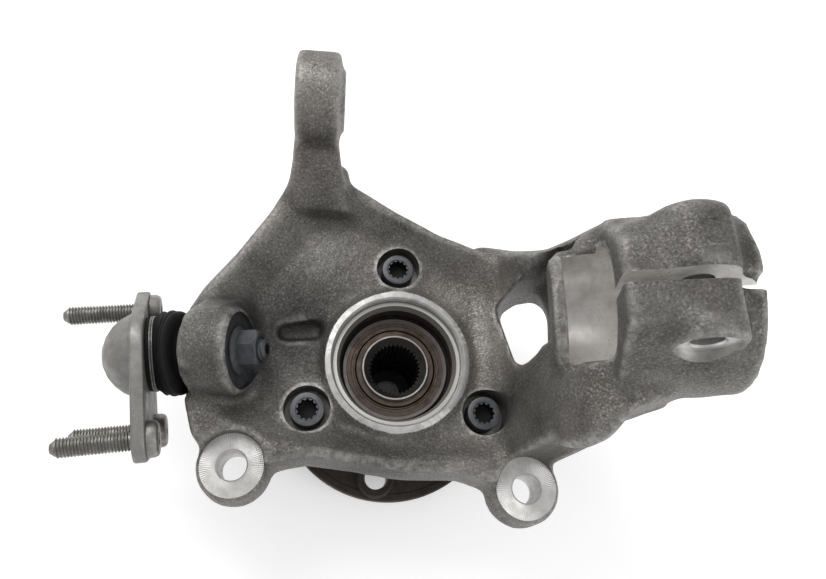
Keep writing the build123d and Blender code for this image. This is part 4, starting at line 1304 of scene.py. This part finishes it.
    def boot(self) -> None:
        """Rubber bellows with its clamp groove, and the two-turn wire in the groove."""
        b, w = self.base_r, self.boot_wall
        skin = [
            (3.2, b - 0.3), (3.5, b), (4.7, b), (5.0, b - 0.65), (7.2, b - 0.65), (7.5, b),
            (8.6, b + 0.4), (9.8, b + 1.6), (11.0, b + 2.6), (12.2, b + 2.7), (13.2, b + 1.9),
            (14.0, b + 1.2), (14.8, b + 1.7), (15.8, b + 2.8), (17.0, b + 3.1), (18.2, b + 2.5),
            (19.0, b + 1.7), (19.8, b + 1.9), (20.8, b + 2.5), (22.0, b + 2.1), (23.2, b + 0.3),
            (24.1, b - 2.6), (24.8, b - 4.4), (25.8, 14.35), (26.1, 14.1)]
        lining = [
            (26.1, 12.6), (24.2, 12.7), (23.0, b - 3.4), (22.0, b - 0.6), (20.8, b + 0.8),
            (19.4, b), (17.0, b + 1.4), (14.0, b - 0.5), (11.6, b + 1.0), (9.0, b - w),
            (3.2, b - w)]
        tube = Form(WHEEL).sleeve([(self.boot_plane(s), r) for s, r in skin + lining], 88)
        boot = tube.solid("bellows_boot", [Finish.BOOT], self.soft_crease)
        soft = boot.modifiers.new("smooth", "SUBSURF")
        soft.levels = soft.render_levels = 1
        settle(boot)
        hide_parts("ball_joint_boot")
        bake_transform(boot)
        LOG.info("bellows_boot: %d faces", len(boot.data.polygons))
        wire, r = Form(CUP), self.wire_r
        turns = [math.tau * n / 12 for n in range(12)]
        for s in self.wire_s:
            wire.turn([(b - 0.02 + r * math.cos(a), s + r * math.sin(a)) for a in turns], 96)
        ring = wire.solid("clamp_wire", [Finish.WIRE], self.soft_crease)
        stand_for(ring, "boot_base", "wire_steel", "boot_clamp_ring")

    def build(self) -> None:
        """Makes the joint's pieces."""
        self.pin()
        self.nut()
        self.housing()
        self.studs()
        self.boot()
        dress("ball_seat", Finish.ACETAL)
        dress("seat_retainer", Finish.WIRE)
        dress("boot_lip_ring", Finish.WIRE)


# ---------------------------------------------------------------- studio
@dataclass
class Studio:
    """Pale floor, soft lamps and the camera."""

    floor_z_mm: float = -13.4
    camera_at: Triple = (-0.0322, -0.1032, 0.4311)
    camera_x: Triple = (0.9938, 0.0, 0.1117)
    camera_y: Triple = (-0.0414, 0.9289, 0.368)
    lens: float = 30.16
    lamp_target: Triple = (0.0, 0.0, 0.08)
    lamp_size_m: float = 0.9
    sensor_mm: float = 36.0
    sky: Point = (0.55, 1.0)
    floor_reach_m: float = 3.0
    shaft_shade_m: Point = (0.030, 0.034)
    floor_glow: float = 0.35

    def camera(self) -> None:
        """Puts the camera at its viewing place."""
        data = bpy.data.cameras.new("camera")
        data.sensor_fit = "HORIZONTAL"
        data.sensor_width = self.sensor_mm
        data.lens = self.lens
        data.clip_start = 0.01
        x, y = Vector(self.camera_x), Vector(self.camera_y)
        turn = Matrix((x, y, x.cross(y))).transposed().to_4x4()
        bpy.context.scene.camera = shown("camera", data, Matrix.Translation(self.camera_at) @ turn)

    def lamp(self, name: str, place: Triple, power: float) -> None:
        """Adds a large soft lamp that faces the part."""
        data = bpy.data.lights.new(name, "AREA")
        data.shape = "DISK"
        data.size = self.lamp_size_m
        data.energy = power
        aim = (Vector(self.lamp_target) - Vector(place)).to_track_quat("-Z", "Y")
        shown(name, data, Matrix.Translation(place) @ aim.to_matrix().to_4x4())

    def floor(self) -> None:
        """Adds the pale floor, white to the camera, which keeps the shadow."""
        bm = bmesh.new()
        bmesh.ops.create_grid(
            bm, x_segments=1, y_segments=1, size=self.floor_reach_m,
            matrix=Matrix.Translation((0, 0, self.floor_z_mm * MM)))
        mesh = bpy.data.meshes.new("floor")
        bm.to_mesh(mesh)
        bm.free()
        floor = shown("floor", mesh)
        s = NodeSheet("pale_floor")
        s.surface((0.9, 0.9, 0.9), 0.0, 0.9)
        s.shader.inputs["Specular IOR Level"].default_value = 0.1
        path = s.add("ShaderNodeLightPath")
        share = s.math("MAXIMUM", path.outputs["Is Camera Ray"], path.outputs["Is Glossy Ray"])
        reach = s.add("ShaderNodeVectorMath", s.place, operation="LENGTH")
        beyond = s.band(reach.outputs["Value"], *self.shaft_shade_m)
        glow = s.math("MULTIPLY", s.math("MULTIPLY", share, beyond), self.floor_glow)
        s.join((1.0, 1.0, 1.0), s.shader.inputs["Emission Color"])
        s.join(glow, s.shader.inputs["Emission Strength"])
        mesh.materials.append(s.material)

    def world(self) -> None:
        """An even pale sky that fills the shadows."""
        world = bpy.data.worlds.new("studio")
        world.use_nodes = True
        tree = world.node_tree
        back = tree.nodes["Background"]
        back.inputs["Color"].default_value = (1.0, 1.0, 1.0, 1.0)
        path = tree.nodes.new("ShaderNodeLightPath")
        span = tree.nodes.new("ShaderNodeMapRange")
        span.inputs["To Min"].default_value, span.inputs["To Max"].default_value = self.sky
        tree.links.new(path.outputs["Is Camera Ray"], span.inputs["Value"])
        tree.links.new(span.outputs["Result"], back.inputs["Strength"])
        bpy.context.scene.world = world

    def build(self) -> None:
        """Sets the whole studio."""
        self.camera()
        self.floor()
        self.world()
        self.lamp("key", (-0.45, 0.75, 1.0), 9.0)
        self.lamp("fill", (0.9, -0.5, 0.8), 5.0)
        bpy.context.scene.view_settings.view_transform = "Standard"


def main() -> None:
    """Builds the pieces in order."""
    logging.basicConfig(level=logging.INFO, format="%(message)s")
    Studio().build()
    WheelCarrier().build()
    WheelBearing().build()
    WheelHub().build()
    BearingBolts().build()
    LowerBallJoint().build()


if __name__ == "__main__":
    main()
